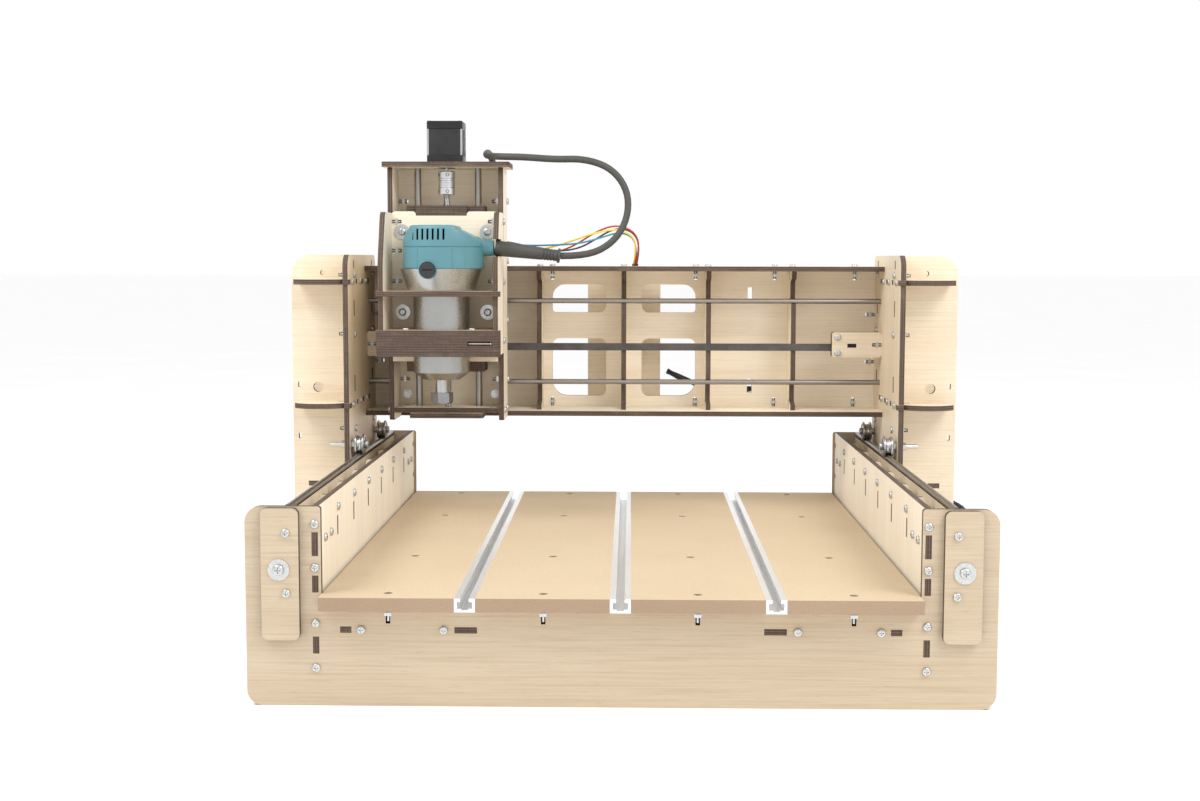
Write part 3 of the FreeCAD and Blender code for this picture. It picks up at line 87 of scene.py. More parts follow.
# ---------------------------------------------------------------- camera and light
CAMERA_PLACE = (0.00858, -1.7827, 0.4137)       # metres
CAMERA_SWING, CAMERA_DIP, CAMERA_ROLL = 0.0191, 0.0878, 0.0018      # radians
LAMP_TARGET = (0.0, 0.1, 0.2)


def make_camera():
    lens = bpy.data.cameras.new("camera")
    lens.lens = 48.0
    lens.sensor_width = 36.0
    camera = add_object("camera", lens)
    turn = (Matrix.Rotation(CAMERA_SWING, 4, "Z") @ Matrix.Rotation(math.pi / 2 - CAMERA_DIP, 4, "X")
            @ Matrix.Rotation(CAMERA_ROLL, 4, "Z"))
    camera.matrix_world = Matrix.Translation(CAMERA_PLACE) @ turn
    bpy.context.scene.camera = camera


def area_light(name, place, size, power):
    lamp = bpy.data.lights.new(name, "AREA")
    lamp.shape = "DISK"
    lamp.size = size
    lamp.energy = power
    light = add_object(name, lamp)
    light.location = place
    light.rotation_euler = (Vector(LAMP_TARGET) - Vector(place)).to_track_quat("-Z", "Y").to_euler()


def make_studio():
    world = bpy.data.worlds.new("studio")
    world.use_nodes = True
    sky = world.node_tree.nodes["Background"]
    sky.inputs["Color"].default_value = (1.0, 1.0, 1.0, 1.0)
    sky.inputs["Strength"].default_value = 1.0
    bpy.context.scene.world = world
    bpy.context.scene.view_settings.view_transform = "Standard"
    area_light("left_box", (-1.0, -0.6, 1.45), 0.8, 14.0)
    area_light("right_box", (1.0, -0.95, 1.45), 0.9, 17.0)


# ---------------------------------------------------------------- finishes
class Finish:
    """A Principled material, with the few node calls that the finishes below share."""

    def __init__(self, name, **sockets):
        self.material = bpy.data.materials.new(name)
        self.material.use_nodes = True
        self.tree = self.material.node_tree
        self.shader = self.tree.nodes["Principled BSDF"]
        self.set(self.shader, {key.replace("_", " "): value for key, value in sockets.items()})
        self.here = self.add("ShaderNodeTexCoord").outputs["Object"]

    def set(self, node, values):
        for key, value in values.items():
            if isinstance(value, bpy.types.NodeSocket):
                self.tree.links.new(value, node.inputs[key])
            else:
                node.inputs[key].default_value = value

    def add(self, kind, values=None, **properties):
        node = self.tree.nodes.new(kind)
        for key, value in properties.items():
            setattr(node, key, value)
        self.set(node, values or {})
        return node

    def attribute(self, name, output):
        return self.add("ShaderNodeAttribute", attribute_name=name).outputs[output]

    def stretch(self, scale, vector=None):
        values = {"Vector": self.here if vector is None else vector, "Scale": scale}
        return self.add("ShaderNodeMapping", values).outputs["Vector"]

    def noise(self, scale, vector=None, detail=4.0, roughness=0.55, distortion=0.0):
        """Noise whose cells are 1/scale metres long on each axis."""
        values = {"Vector": self.stretch(scale, vector), "Scale": 1.0, "Detail": detail,
                  "Roughness": roughness, "Distortion": distortion}
        return self.add("ShaderNodeTexNoise", values).outputs["Fac"]

    def waves(self, axis, period, vector=None):
        """Parallel bands a period apart, in metres."""
        values = {"Vector": self.here if vector is None else vector,
                  "Scale": math.pi / (10 * period), "Distortion": 0.0, "Detail": 1.0}
        return self.add("ShaderNodeTexWave", values, bands_direction=axis).outputs["Fac"]

    def ramp(self, factor, low, high, start=0.0, stop=1.0):
        values = {"Value": factor, "From Min": low, "From Max": high, "To Min": start, "To Max": stop}
        return self.add("ShaderNodeMapRange", values).outputs["Result"]

    def mix(self, factor, first, second, mode="MIX"):
        node = self.add("ShaderNodeMix", data_type="RGBA", blend_type=mode)
        for index, value in ((0, factor), (6, first), (7, second)):
            if isinstance(value, bpy.types.NodeSocket):
                self.tree.links.new(value, node.inputs[index])
            else:
                node.inputs[index].default_value = value if index == 0 else (*value, 1.0)
        return node.outputs[2]

    def colour(self, value):
        self.set(self.shader, {"Base Color": value})
        return self

    def rough(self, value):
        self.set(self.shader, {"Roughness": value})
        return self

    def bump(self, height, strength, distance=0.0005):
        values = {"Height": height, "Strength": strength, "Distance": distance}
        normal = self.add("ShaderNodeBump", values).outputs["Normal"]
        self.set(self.shader, {"Normal": normal})
        return self


def ply_face(name, pale, warm, streak):
    """Veneer: broad bands, fine fibres and short dark pores, all along the board's grain."""
    finish = Finish(name, Roughness=0.55)
    grain = finish.attribute("grain", "Vector")
    bands = finish.noise((1.4, 26, 26), grain, 3.0, distortion=0.6)
    fibres = finish.noise((9, 420, 420), grain, 5.0, 0.6)
    pores = finish.noise((60, 1500, 1500), grain, 2.0)
    colour = finish.mix(finish.ramp(bands, 0.36, 0.66), pale, warm)
    colour = finish.mix(finish.ramp(fibres, 0.45, 0.8, 0.0, 0.75), colour, streak)
    colour = finish.mix(finish.ramp(pores, 0.62, 0.74, 0.0, 0.4), colour, tuple(0.55 * c for c in streak))
    tone = finish.ramp(finish.attribute("tone", "Fac"), 0.0, 1.0, 0.0, 0.2)
    colour = finish.mix(tone, colour, tuple(0.72 * c for c in warm))
    finish.colour(colour).rough(finish.ramp(fibres, 0.3, 0.8, 0.48, 0.66))
    return finish.bump(fibres, 0.12, 0.0002).material


def ply_edge(name, char, scorch, light):
    """Laser-cut edge: scorched brown, with the glued layers and the beam's fine lines."""
    finish = Finish(name, Roughness=0.75)
    grain = finish.attribute("grain", "Vector")
    layers = finish.waves("Z", 0.0024, grain)
    soot = finish.noise((24, 24, 160), grain, 4.0, 0.65)
    beam = finish.noise((700, 700, 30), grain, 2.0)
    colour = finish.mix(finish.ramp(layers, 0.25, 0.8), char, scorch)
    colour = finish.mix(finish.ramp(soot, 0.5, 0.78, 0.0, 0.7), colour, light)
    colour = finish.mix(finish.ramp(beam, 0.45, 0.7, 0.0, 0.35), colour, tuple(0.5 * c for c in char))
    return finish.colour(colour).bump(layers, 0.3, 0.0002).material


def fibreboard(name, base, dark, fine):
    """Pressed fibre: soft clouds and specks of a given fineness."""
    finish = Finish(name, Roughness=0.8)
    cloud = finish.noise((9, 9, 9), None, 3.0)
    specks = finish.noise((fine, fine, fine), None, 3.0, 0.7)
    colour = finish.mix(finish.ramp(cloud, 0.35, 0.7, 0.0, 0.5), base, dark)
    colour = finish.mix(finish.ramp(specks, 0.5, 0.75, 0.0, 0.55), colour, tuple(0.6 * c for c in dark))
    return finish.colour(colour).bump(specks, 0.15, 0.0003).material


def metal(name, colour, rough, scale=(300, 300, 300), streak=0.12, metallic=1.0, wear=0.6):
    """Bare metal with machining marks along the scale's short axes, and dull blotches."""
    finish = Finish(name, Metallic=metallic)
    marks = finish.noise(scale, None, 4.0, 0.6)
    blotch = finish.noise((14, 14, 14), None, 2.0)
    shade = finish.mix(finish.ramp(marks, 0.35, 0.75, 0.0, wear), colour, tuple(0.66 * c for c in colour))
    shade = finish.mix(finish.ramp(blotch, 0.4, 0.75, 0.0, 0.3), shade, tuple(0.8 * c for c in colour))
    finish.colour(shade).rough(finish.ramp(marks, 0.3, 0.8, rough, rough + streak))
    return finish.bump(marks, 0.06, 0.0002).material


def moulded(name, colour, rough, dust=0.18, metallic=0.0, fine=1400, strength=0.12):
    """Moulded plastic, paint or rubber: a fine pebbled skin with a little dust."""
    finish = Finish(name, Metallic=metallic)
    skin = finish.noise((fine, fine, fine), None, 2.0)
    haze = finish.noise((32, 32, 32), None, 4.0, 0.6)
    pale = tuple(min(1.0, c * 1.25 + 0.02) for c in colour)
    shade = finish.mix(finish.ramp(haze, 0.42, 0.8, 0.0, dust * 3), colour, pale)
    shade = finish.mix(finish.ramp(skin, 0.5, 0.8, 0.0, 0.3), shade, tuple(0.7 * c for c in colour))
    finish.colour(shade).rough(finish.ramp(haze, 0.3, 0.8, rough, rough + 0.15))
    return finish.bump(skin, strength, 0.0002).material


def belt_finish():
    """Toothed belt: ribs a tooth apart along X and Y, whichever way the belt runs."""
    finish = Finish("toothed_belt", Roughness=0.62)
    ribs = finish.mix(1.0, finish.waves("X", 0.002), finish.waves("Y", 0.002), "MULTIPLY")
    haze = finish.noise((60, 60, 60), None, 3.0)
    colour = finish.mix(finish.ramp(haze, 0.35, 0.75), (0.055, 0.048, 0.044), (0.1, 0.086, 0.08))
    return finish.colour(colour).bump(ribs, 0.5, 0.0005).material


def stack_finish():
    """A motor's lamination stack: fine level lines under black paint."""
    finish = Finish("lamination_stack", Metallic=0.4)
    lines = finish.waves("Z", 0.0007)
    haze = finish.noise((40, 40, 90), None, 3.0)
    colour = finish.mix(finish.ramp(haze, 0.35, 0.75), (0.014, 0.014, 0.015), (0.028, 0.028, 0.03))
    finish.colour(colour).rough(finish.ramp(haze, 0.3, 0.7, 0.42, 0.6))
    return finish.bump(lines, 0.35, 0.0002).material


def board_finish():
    """Green circuit board with a grid of copper lines under its lacquer."""
    finish = Finish("circuit_board", Roughness=0.38)
    cells = finish.add("ShaderNodeTexBrick", {
        "Vector": finish.stretch((1, 1, 1)), "Scale": 90.0, "Mortar Size": 0.03, "Mortar": (0.03, 0.3, 0.12, 1),
        "Color1": (0.01, 0.16, 0.07, 1), "Color2": (0.015, 0.2, 0.09, 1)}).outputs["Color"]
    haze = finish.noise((120, 120, 120), None, 2.0)
    colour = finish.mix(finish.ramp(haze, 0.5, 0.8, 0.0, 0.4), cells, (0.02, 0.1, 0.05))
    return finish.colour(colour).bump(haze, 0.1, 0.0002).material


def make_finishes():
    return {
        "veneer": ply_face("birch_veneer", (0.76, 0.66, 0.51), (0.71, 0.595, 0.44), (0.60, 0.47, 0.33)),
        # painted light: a paler copy of the birch veneer, brightening the inner walls, beam and carriage parts
        # against their shade
        "painted_light_veneer": ply_face("painted_light_veneer", (0.90, 0.81, 0.66), (0.86, 0.76, 0.61), (0.76, 0.64, 0.49)),
        # painted shade: a darker copy of the birch veneer for the front, back and belt end plates
        "painted_shade_veneer": ply_face(
            "painted_shade_veneer", (0.56, 0.455, 0.325), (0.51, 0.405, 0.28), (0.40, 0.29, 0.185)),
        "clamp_veneer": ply_face("clamp_veneer", (0.52, 0.41, 0.29), (0.45, 0.34, 0.23), (0.3, 0.2, 0.13)),
        "edge": ply_edge("birch_edge", (0.06, 0.036, 0.024), (0.115, 0.076, 0.052), (0.19, 0.135, 0.095)),
        "clamp_edge": ply_edge("clamp_edge", (0.056, 0.034, 0.025), (0.105, 0.07, 0.052), (0.16, 0.115, 0.088)),
        "mdf_face": fibreboard("fibreboard_face", (0.57, 0.45, 0.30), (0.52, 0.40, 0.26), 900),
        "mdf_edge": fibreboard("fibreboard_edge", (0.37, 0.262, 0.175), (0.31, 0.215, 0.14), 700),
        "track": metal("anodised_track", (0.93, 0.93, 0.93), 0.34, (900, 12, 900), 0.1, 0.8, 0.25),
        "rod": metal("ground_rod", (0.36, 0.34, 0.32), 0.3, (500, 500, 500), 0.12),
        "zinc": metal("zinc_plate", (0.62, 0.63, 0.62), 0.28, (400, 400, 400), 0.16),
        "steel": metal("bearing_steel", (0.55, 0.55, 0.55), 0.22, (350, 350, 350), 0.12),
        "nut": metal("nut_steel", (0.33, 0.33, 0.34), 0.3, (300, 300, 300), 0.18),
        "alloy": metal("turned_aluminium", (0.72, 0.73, 0.74), 0.26, (30, 30, 1600), 0.14),
        "cast": metal("cast_aluminium", (0.42, 0.42, 0.41), 0.24, (700, 700, 700), 0.12, wear=0.35),
        "teal": moulded("teal_housing", (0.085, 0.225, 0.262), 0.36, 0.1),
        # near black, painted shade: stands in for the dark inside of the housing seen through the vents
        "slot": moulded("vent_painted_shade", (0.008, 0.012, 0.014), 0.7, 0.05),
        "black": moulded("black_plastic", (0.022, 0.022, 0.023), 0.38, 0.12),
        "motor": moulded("motor_bell", (0.02, 0.02, 0.021), 0.3, 0.1, 0.5, 900),
        "stack": stack_finish(),
        "rubber": moulded("cord_rubber", (0.050, 0.048, 0.042), 0.52, 0.2, 0.0, 1800, 0.16),
        "belt": belt_finish(),
        "board": board_finish(),
        "red": moulded("red_lead", (0.42, 0.012, 0.03), 0.4),
        "yellow": moulded("yellow_lead", (0.75, 0.56, 0.02), 0.4),
        "blue": moulded("blue_lead", (0.03, 0.22, 0.33), 0.4),
        "dark": moulded("black_lead", (0.018, 0.017, 0.018), 0.4),
        "brass": metal("brass", (0.72, 0.55, 0.28), 0.3),
    }


# ---------------------------------------------------------------- mesh tools
def skin(rings, ends=True):
    """Faces over equal rings of points, one after another, closed at both ends."""
    count = len(rings[0])
    verts = [point for ring in rings for point in ring]
    faces = []
    for row in range(len(rings) - 1):
        for i in range(count):
            j = (i + 1) % count
            faces.append((row * count + i, row * count + j, (row + 1) * count + j, (row + 1) * count + i))
    if ends:
        faces.append(tuple(range(count - 1, -1, -1)))
        faces.append(tuple((len(rings) - 1) * count + i for i in range(count)))
    return verts, faces


def circle(radius, height, sides):
    return [Vector((radius * math.cos(TURN * i / sides), radius * math.sin(TURN * i / sides), height))
            for i in range(sides)]


def lathe(profile, sides=40):
    """Solid of (radius, height) pairs, in millimetres, turned about Z."""
    return skin([circle(radius * MM, height * MM, sides) for radius, height in profile])


def rounded(half_x, half_y, radius, height, steps=4):
    """Corner-rounded rectangle, as points in millimetres about the origin."""
    ring = []
    for quarter, (sx, sy) in enumerate(((1, 1), (-1, 1), (-1, -1), (1, -1))):
        for step in range(steps + 1):
            angle = (quarter + step / steps) * math.pi / 2
            ring.append(mm(sx * (half_x - radius) + radius * math.cos(angle),
                           sy * (half_y - radius) + radius * math.sin(angle), height))
    return ring


def block(width, depth, height, radius=1.0, chamfer=0.4, steps=4):
    """Box standing on the origin, with round uprights and chamfered rims."""
    half_x, half_y = width / 2, depth / 2
    inner = (half_x - chamfer, half_y - chamfer, max(radius - chamfer, 0.05))
    return skin([
        rounded(*inner, 0.0, steps), rounded(half_x, half_y, radius, chamfer, steps),
        rounded(half_x, half_y, radius, height - chamfer, steps), rounded(*inner, height, steps),
    ])


def tube(path, radius, sides=14):
    """Round tube of constant radius along a line of points."""
    tangents = [(path[min(i + 1, len(path) - 1)] - path[max(i - 1, 0)]).normalized() for i in range(len(path))]
    across = tangents[0].orthogonal().normalized()
    rings = []
    for point, tangent in zip(path, tangents):
        across = (across - tangent * across.dot(tangent)).normalized()
        up = tangent.cross(across)
        rings.append([point + radius * (across * math.cos(TURN * k / sides) + up * math.sin(TURN * k / sides))
                      for k in range(sides)])
    return skin(rings)


def aim(place, direction):
    """Matrix that stands Z along a direction at a place."""
    return Matrix.Translation(place) @ Vector(direction).to_track_quat("Z", "Y").to_matrix().to_4x4()


class Shape:
    """Meshes put together into one piece. A mesh's mark is the index of its finish in the piece's list."""

    def __init__(self):
        self.verts, self.faces, self.marks = [], [], []

    def put(self, mesh, mark=0, place=None):
        verts, faces = mesh
        first = len(self.verts)
        self.verts += [place @ v if place is not None else v for v in verts]
        self.faces += [tuple(first + i for i in face) for face in faces]
        self.marks += [mark] * len(faces)
        return self

    def piece(self, name, finishes, slot, body=None, replaces=(), sharp=35):
        data = bpy.data.meshes.new(name)
        data.from_pydata([tuple(v) for v in self.verts], [], self.faces)
        for finish in finishes:
            data.materials.append(FINISHES[finish])
        data.polygons.foreach_set("material_index", self.marks)
        tidy = bmesh.new()
        tidy.from_mesh(data)
        bmesh.ops.recalc_face_normals(tidy, faces=tidy.faces)
        tidy.to_mesh(data)
        tidy.free()
        data.shade_smooth()
        data.set_sharp_from_angle(angle=math.radians(sharp))
        piece = add_object(name, data)
        if replaces:
            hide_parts(*replaces)
        if body:
            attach(piece, body)
        return piece


def smooth_line(name, points):
    """Points along the smooth curve whose control points are given, in metres."""
    curve = bpy.data.curves.new(name, "CURVE")
    curve.dimensions = "3D"
    curve.resolution_u = 5
    spline = curve.splines.new("NURBS")
    spline.points.add(len(points) - 1)
    for control, point in zip(spline.points, points):
        control.co = (*point, 1.0)
    spline.order_u = 3
    spline.use_endpoint_u = True
    holder = bpy.data.objects.new(name, curve)
    line = bpy.data.meshes.new_from_object(holder)
    path = [v.co.copy() for v in line.vertices]
    for junk, home in ((line, bpy.data.meshes), (holder, bpy.data.objects), (curve, bpy.data.curves)):
        home.remove(junk)
    return path


# ---------------------------------------------------------------- sheet goods
GRAIN_OF = {0: (2, 1), 1: (0, 2), 2: (0, 1)}     # thin axis: axes along and across the grain


def loose_parts(tidy):
    """The faces of each solid in a mesh. Solids that touch share edges of four faces, which aren't crossed."""
    seen, groups = set(), []
    for start in tidy.faces:
        if start.index in seen:
            continue
        seen.add(start.index)
        group, queue = [], [start]
        while queue:
            face = queue.pop()
            group.append(face)
            for edge in face.edges:
                for other in edge.link_faces if len(edge.link_faces) == 2 else ():
                    if other.index not in seen:
                        seen.add(other.index)
                        queue.append(other)
        groups.append(group)
    return groups


def make_boards(node, face, edge):
    """A sheet part with its flat faces and its cut edges told apart, and the grain laid on each board."""
    source = frame["nodes"][node]
    tidy = bmesh.new()
    tidy.from_mesh(source.data)
    bmesh.ops.remove_doubles(tidy, verts=tidy.verts, dist=1e-6)
    tidy.faces.index_update()
    grain = tidy.loops.layers.float_vector.new("grain")
    tone = tidy.loops.layers.float.new("tone")
    dice = random.Random(node)
    for group in loose_parts(tidy):
        verts = {v for f in group for v in f.verts}
        low, high = part_box([v.co for v in verts])
        thin = min(range(3), key=lambda i: high[i] - low[i])
        along, across = GRAIN_OF[thin]
        shift = Vector((dice.uniform(0, 9), dice.uniform(0, 9), 0.0))
        shade = dice.random()
        for f in group:
            f.material_index = 0 if abs(f.normal[thin]) > 0.9 else 1
            for corner in f.loops:
                spot = corner.vert.co
                corner[grain] = Vector((spot[along], spot[across], spot[thin] - low[thin])) + shift
                corner[tone] = shade
    data = bpy.data.meshes.new(node + "_boards")
    tidy.to_mesh(data)
    tidy.free()
    custom = data.attributes.get("custom_normal")
    if custom:
        data.attributes.remove(custom)
    for finish in (face, edge):
        data.materials.append(FINISHES[finish])
    data.shade_smooth()
    data.set_sharp_from_angle(angle=math.radians(25))
    piece = add_object(node + "_boards", data)
    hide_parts(node)
    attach(piece, source["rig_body"])


BIRCH_PARTS = (
    "front_plate", "back_plate", "inner_walls", "rail_plates", "side_bulkheads", "bed_frame", "belt_end_plates",
    "gantry_sides", "tower_panels", "tower_shelves", "beam_plates", "beam_back_panel", "beam_ribs",
    "x_belt_anchors", "electronics_panel", "carriage_frame", "carriage_top_plate", "slider_box", "ring_plate",
)
SHEET_OF = {                # parts whose faces aren't the plain veneer
    # front, back and belt end plates take a darker veneer, painted shade
    "front_plate": "painted_shade_veneer", "back_plate": "painted_shade_veneer", "belt_end_plates": "painted_shade_veneer",
    # inner walls, beam and carriage parts take a paler veneer, painted light
    "inner_walls": "painted_light_veneer", "beam_back_panel": "painted_light_veneer", "beam_ribs": "painted_light_veneer",
    "beam_plates": "painted_light_veneer", "slider_box": "painted_light_veneer", "carriage_frame": "painted_light_veneer",
}


def make_sheet_goods():
    """Every plywood and fibreboard part."""
    for node in BIRCH_PARTS:
        make_boards(node, SHEET_OF.get(node, "veneer"), "edge")
    make_boards("router_clamp", "clamp_veneer", "clamp_edge")
    make_boards("spoilboards", "mdf_face", "mdf_edge")


# ---------------------------------------------------------------- bought-in parts that keep their shape
KEPT_FINISH = {
    "t_tracks": "track", "y_belts": "belt", "gantry_belts": "belt", "x_belt_loop": "belt",
    "y_rods": "rod", "x_rods": "rod", "z_rods": "rod",
    "base_fasteners": "zinc", "gantry_fasteners": "zinc", "carriage_fasteners": "zinc",
    "slider_fasteners": "zinc", "x_pulley": "alloy", "y_pulley_left": "alloy", "y_pulley_right": "alloy",
    "y_wheels_upper_front": "steel", "y_wheels_upper_rear": "steel", "y_wheels_lower_front": "steel",
    "y_wheels_lower_rear": "steel", "x_wheel_upper_left": "steel", "x_wheel_upper_right": "steel",
    "x_wheel_lower_left": "steel", "x_wheel_lower_right": "steel", "router_barrel": "cast",
    "router_spindle": "steel", "collet_nut": "nut", "brush_cap": "black", "controller_board": "board",
}


def finish_kept_parts():
    for node, finish in KEPT_FINISH.items():
        data = frame["nodes"][node].data
        data.materials.clear()
        data.materials.append(FINISHES[finish])


# ---------------------------------------------------------------- motors, screw and coupler
def part_box(points):
    """Lowest and highest corner of some points."""
    return [min(p[i] for p in points) for i in range(3)], [max(p[i] for p in points) for i in range(3)]


def make_motor(shape, verts):
    """A square stepper motor on a shaft that hangs below it, over one CAD motor's points."""
    low, high = part_box(verts)
    middle = Vector(((low[0] + high[0]) / 2, (low[1] + high[1]) / 2, 0.0))
    size = (high[0] - low[0]) / MM
    foot = min(v[2] for v in verts if abs(v[0] - middle.x) > 0.4 * size * MM) / MM
    top = high[2] / MM
    place = Matrix.Translation(middle)

    def at(height, x=0.0, y=0.0):
        return place @ Matrix.Translation(mm(x, y, height))

    shape.put(block(size, size, 8.0, 3.2, 0.5), 0, at(foot))
    shape.put(block(size - 0.6, size - 0.6, top - foot - 17.5, 4.6, 0.2, 2), 1, at(foot + 7.9))
    shape.put(block(size, size, 9.5, 3.2, 0.6), 0, at(top - 9.7))
    shape.put(lathe([(11.0, 0), (11.0, 1.6), (10.6, 2.0)]), 3, at(foot - 2.0))
    shape.put(lathe([(0.4, 0), (2.5, 0.5), (2.5, foot - low[2] / MM)], 20), 2, at(low[2] / MM))
    bar = size / 2 - 3.1
    for x in (-bar, bar):
        for y in (-bar, bar):
            shape.put(lathe([(1.45, 0), (1.45, top - foot - 17.6)], 12), 2,
                      at(foot + 8.0, x * 1.085, y * 1.085))
            shape.put(lathe([(0.5, 0), (2.6, 0.1), (2.6, 0.9), (2.0, 1.3)], 16), 2, at(top - 1.0, x, y))
    shape.put(lathe([(8.0, 0), (8.0, 0.5), (7.0, 0.8), (7.0, 0.3), (0.1, 0.3)], 30), 0, at(top - 0.8))
    shape.put(block(16.0, 6.0, 7.0, 0.6, 0.3), 4, at(top - 9.0, 0, size / 2 - 1.0 - 2.0))


def make_motors():
    for node in ("x_motor", "z_motor", "y_motors"):
        source = frame["nodes"][node]
        shape = Shape()
        points = [v.co for v in source.data.vertices]
        if node == "y_motors":
            make_motor(shape, [p for p in points if p.x < 0])
            make_motor(shape, [p for p in points if p.x > 0])
        else:
            make_motor(shape, points)
        shape.piece(node + "_detail", ["motor", "stack", "steel", "alloy", "black"], "motor_black",
                    source["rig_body"], [node])


def make_lead_screw():
    """The four-start thread over the plain CAD rod, and the slit shaft coupler."""
    low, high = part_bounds("lead_screw")
    middle = (low + high) / 2
    pitch, starts, sides = 2.0, 4, 28
    long = (high.z - low.z) / MM
    rows = int(long / (pitch / 5))
    rings = []
    for row in range(rows + 1):
        height = long * row / rows
        ring = []
        for i in range(sides):
            phase = (height / pitch - starts * i / sides) % 1.0
            depth = min(1.0, max(0.0, 3.0 * abs(phase - 0.5) - 0.35))
            radius = 3.98 - 0.85 * depth
            angle = TURN * i / sides
            ring.append(mm(radius * math.cos(angle), radius * math.sin(angle), height))
        rings.append(ring)
    shape = Shape().put(skin(rings), 0, Matrix.Translation((middle.x, middle.y, low.z)))
    shape.piece("lead_screw_thread", ["zinc"], "rod_steel", "z_screw", ["lead_screw"], 50)

    low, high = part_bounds("shaft_coupler")
    middle = (low + high) / 2
    long = (high.z - low.z) / MM
    radius = (high.x - low.x) / 2 / MM
    profile = [(radius - 1, 0), (radius, 1)]
    for groove in range(5):
        height = long / 2 - 5.2 + 2.6 * groove
        profile += [(radius, height - 0.35), (radius - 2.6, height - 0.3), (radius - 2.6, height + 0.3),
                    (radius, height + 0.35)]
    profile += [(radius, long - 1), (radius - 1, long)]
    shape = Shape().put(lathe(profile, 44), 0, Matrix.Translation((middle.x, middle.y, low.z)))
    for height in (4.2, long - 4.2):
        for angle in (0.2, -1.15):
            out = Vector((math.sin(angle), -math.cos(angle), 0.0))
            place = aim(Vector((middle.x, middle.y, low.z + height * MM)) + out * (radius - 1.6) * MM, out)
            shape.put(lathe([(2.1, 0), (2.1, 1.55), (1.5, 1.75), (1.2, 1.0), (0.1, 1.0)], 16), 1, place)
    shape.piece("coupler_beam", ["alloy", "black"], "pulley_aluminium", "z_screw", ["shaft_coupler"])


# ---------------------------------------------------------------- router housing
HOUSING = Vector((-208.0, 73.0, 0.0))     # axis of the moulded top, in millimetres
AXIS_X = -211.0                           # the spindle's axis
HOUSING_RADIUS = 46.8
HOUSING_BACK = 35.8                       # from the axis to the flat behind
RIM = 4.0                                 # radius of the top's rounded rim


def housing_ring(height, inset, left, right, sides=96):
    """Plan outline of the moulded top at a height: round in front, flat behind and at its flanks."""
    ring = []
    for i in range(sides):
        angle = TURN * i / sides
        x = (HOUSING_RADIUS - inset) * math.cos(angle)
        y = (HOUSING_RADIUS - inset) * math.sin(angle)
        x = max(left - HOUSING.x + inset, min(right - HOUSING.x - inset, x))
        y = min(HOUSING_BACK - inset, y)
        ring.append(mm(HOUSING.x + x, HOUSING.y + y, height))
    return ring


def apply_modifier(piece, kind, **settings):
    """Put a modifier's result in place of a piece's mesh."""
    modifier = piece.modifiers.new(kind.lower(), kind)
    for key, value in settings.items():
        setattr(modifier, key, value)
    bpy.context.view_layer.update()
    whole = bpy.data.meshes.new_from_object(piece.evaluated_get(bpy.context.evaluated_depsgraph_get()))
    piece.modifiers.clear()
    old = piece.data
    piece.data = whole
    bpy.data.meshes.remove(old)


def make_housing():
    """The router's moulded top: a stepped and sloped shell, cut by its vents, with its neck and trim."""
    foot, top = 403.2, 452.6
    left, right = AXIS_X - 44, AXIS_X + 49.5
    rings = [housing_ring(foot, 0.6, left, right), housing_ring(foot + 0.6, 0.0, left, right)]
    for height, inset in ((427.4, 0.0), (427.6, 0.7), (428.4, 0.7), (428.6, 0.0)):
        rings.append(housing_ring(height, inset, left, right))
    shoulder = 431.0
    for step in range(9):
        share = step / 8
        height = shoulder + (top - RIM - shoulder) * share
        slope = share * share
        rings.append(housing_ring(height, 1.2 * slope, left + 9.0 * slope, right - 28.0 * share ** 1.4))
    for angle in (0.35, 0.75, 1.15, math.pi / 2):
        sink = RIM * (1 - math.cos(angle))
        rings.append(housing_ring(top - RIM + RIM * math.sin(angle), 1.2 + sink, left + 9.0, right - 28.0))
    shape = Shape().put(skin(rings), 0)
    body = shape.piece("router_top", ["teal", "slot"], "teal_plastic")

    # the vent pockets' walls take the cutter's near-black finish, painted shade for the housing's dark inside
    cuts = Shape()
    for i in range(7):
        cuts.put(block(2.3, 16.0, 12.5, 1.1, 0.3, 3), 1, Matrix.Translation(mm(-239.5 + 6.1 * i, 31.0, 435.8)))
    cutter = cuts.piece("vent_cutter", ["teal", "slot"], "teal_plastic")
    apply_modifier(body, "BOOLEAN", operation="DIFFERENCE", object=cutter, solver="EXACT")
    bpy.data.objects.remove(cutter)

    trim = Shape()
    neck = [(13.5, 0), (13.0, 4), (11.0, 8), (9.6, 11), (9.3, 20), (8.9, 22.5)]
    trim.put(lathe(neck, 40), 0, aim(mm(AXIS_X + 38.5, HOUSING.y, 427.0), (1, 0, 0)))
    cap = mm(AXIS_X - 10, 24.4, 402.0)
    trim.put(skin([circle(r * MM, h * MM, 40) for r, h in (
        (10.4, 15), (10.4, 0.8), (9.9, 0.1), (9.4, 0.1), (9.15, 0.6), (9.15, 13), (10.4, 15))], False),
        0, aim(cap, (0, 1, 0)))
    for x, half in ((AXIS_X - 22.5, 0.5), (AXIS_X + 17.5, 0.5), (AXIS_X + 31, 0.6)):
        reach = math.sqrt(max(HOUSING_RADIUS ** 2 - (x - HOUSING.x) ** 2, 0))
        foot_of_bar = Matrix.Translation(mm(x, HOUSING.y - reach + 0.2, 404.0))
        trim.put(block(2 * half, 1.4, 23.0, 0.3, 0.15, 2), 0, foot_of_bar)
    trim.piece("router_top_trim", ["teal"], "teal_plastic", "z_slide")
    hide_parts("router_housing")
    body.data.shade_smooth()
    body.data.set_sharp_from_angle(angle=math.radians(32))
    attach(body, "z_slide")


# ---------------------------------------------------------------- router cord, plug and leads
CORD_RADIUS = 0.004       # metres
LEAD_RADIUS = 0.0011
STRAND_RADIUS = 0.0017    # one conductor of the harness
TIE_RADIUS = 0.0011

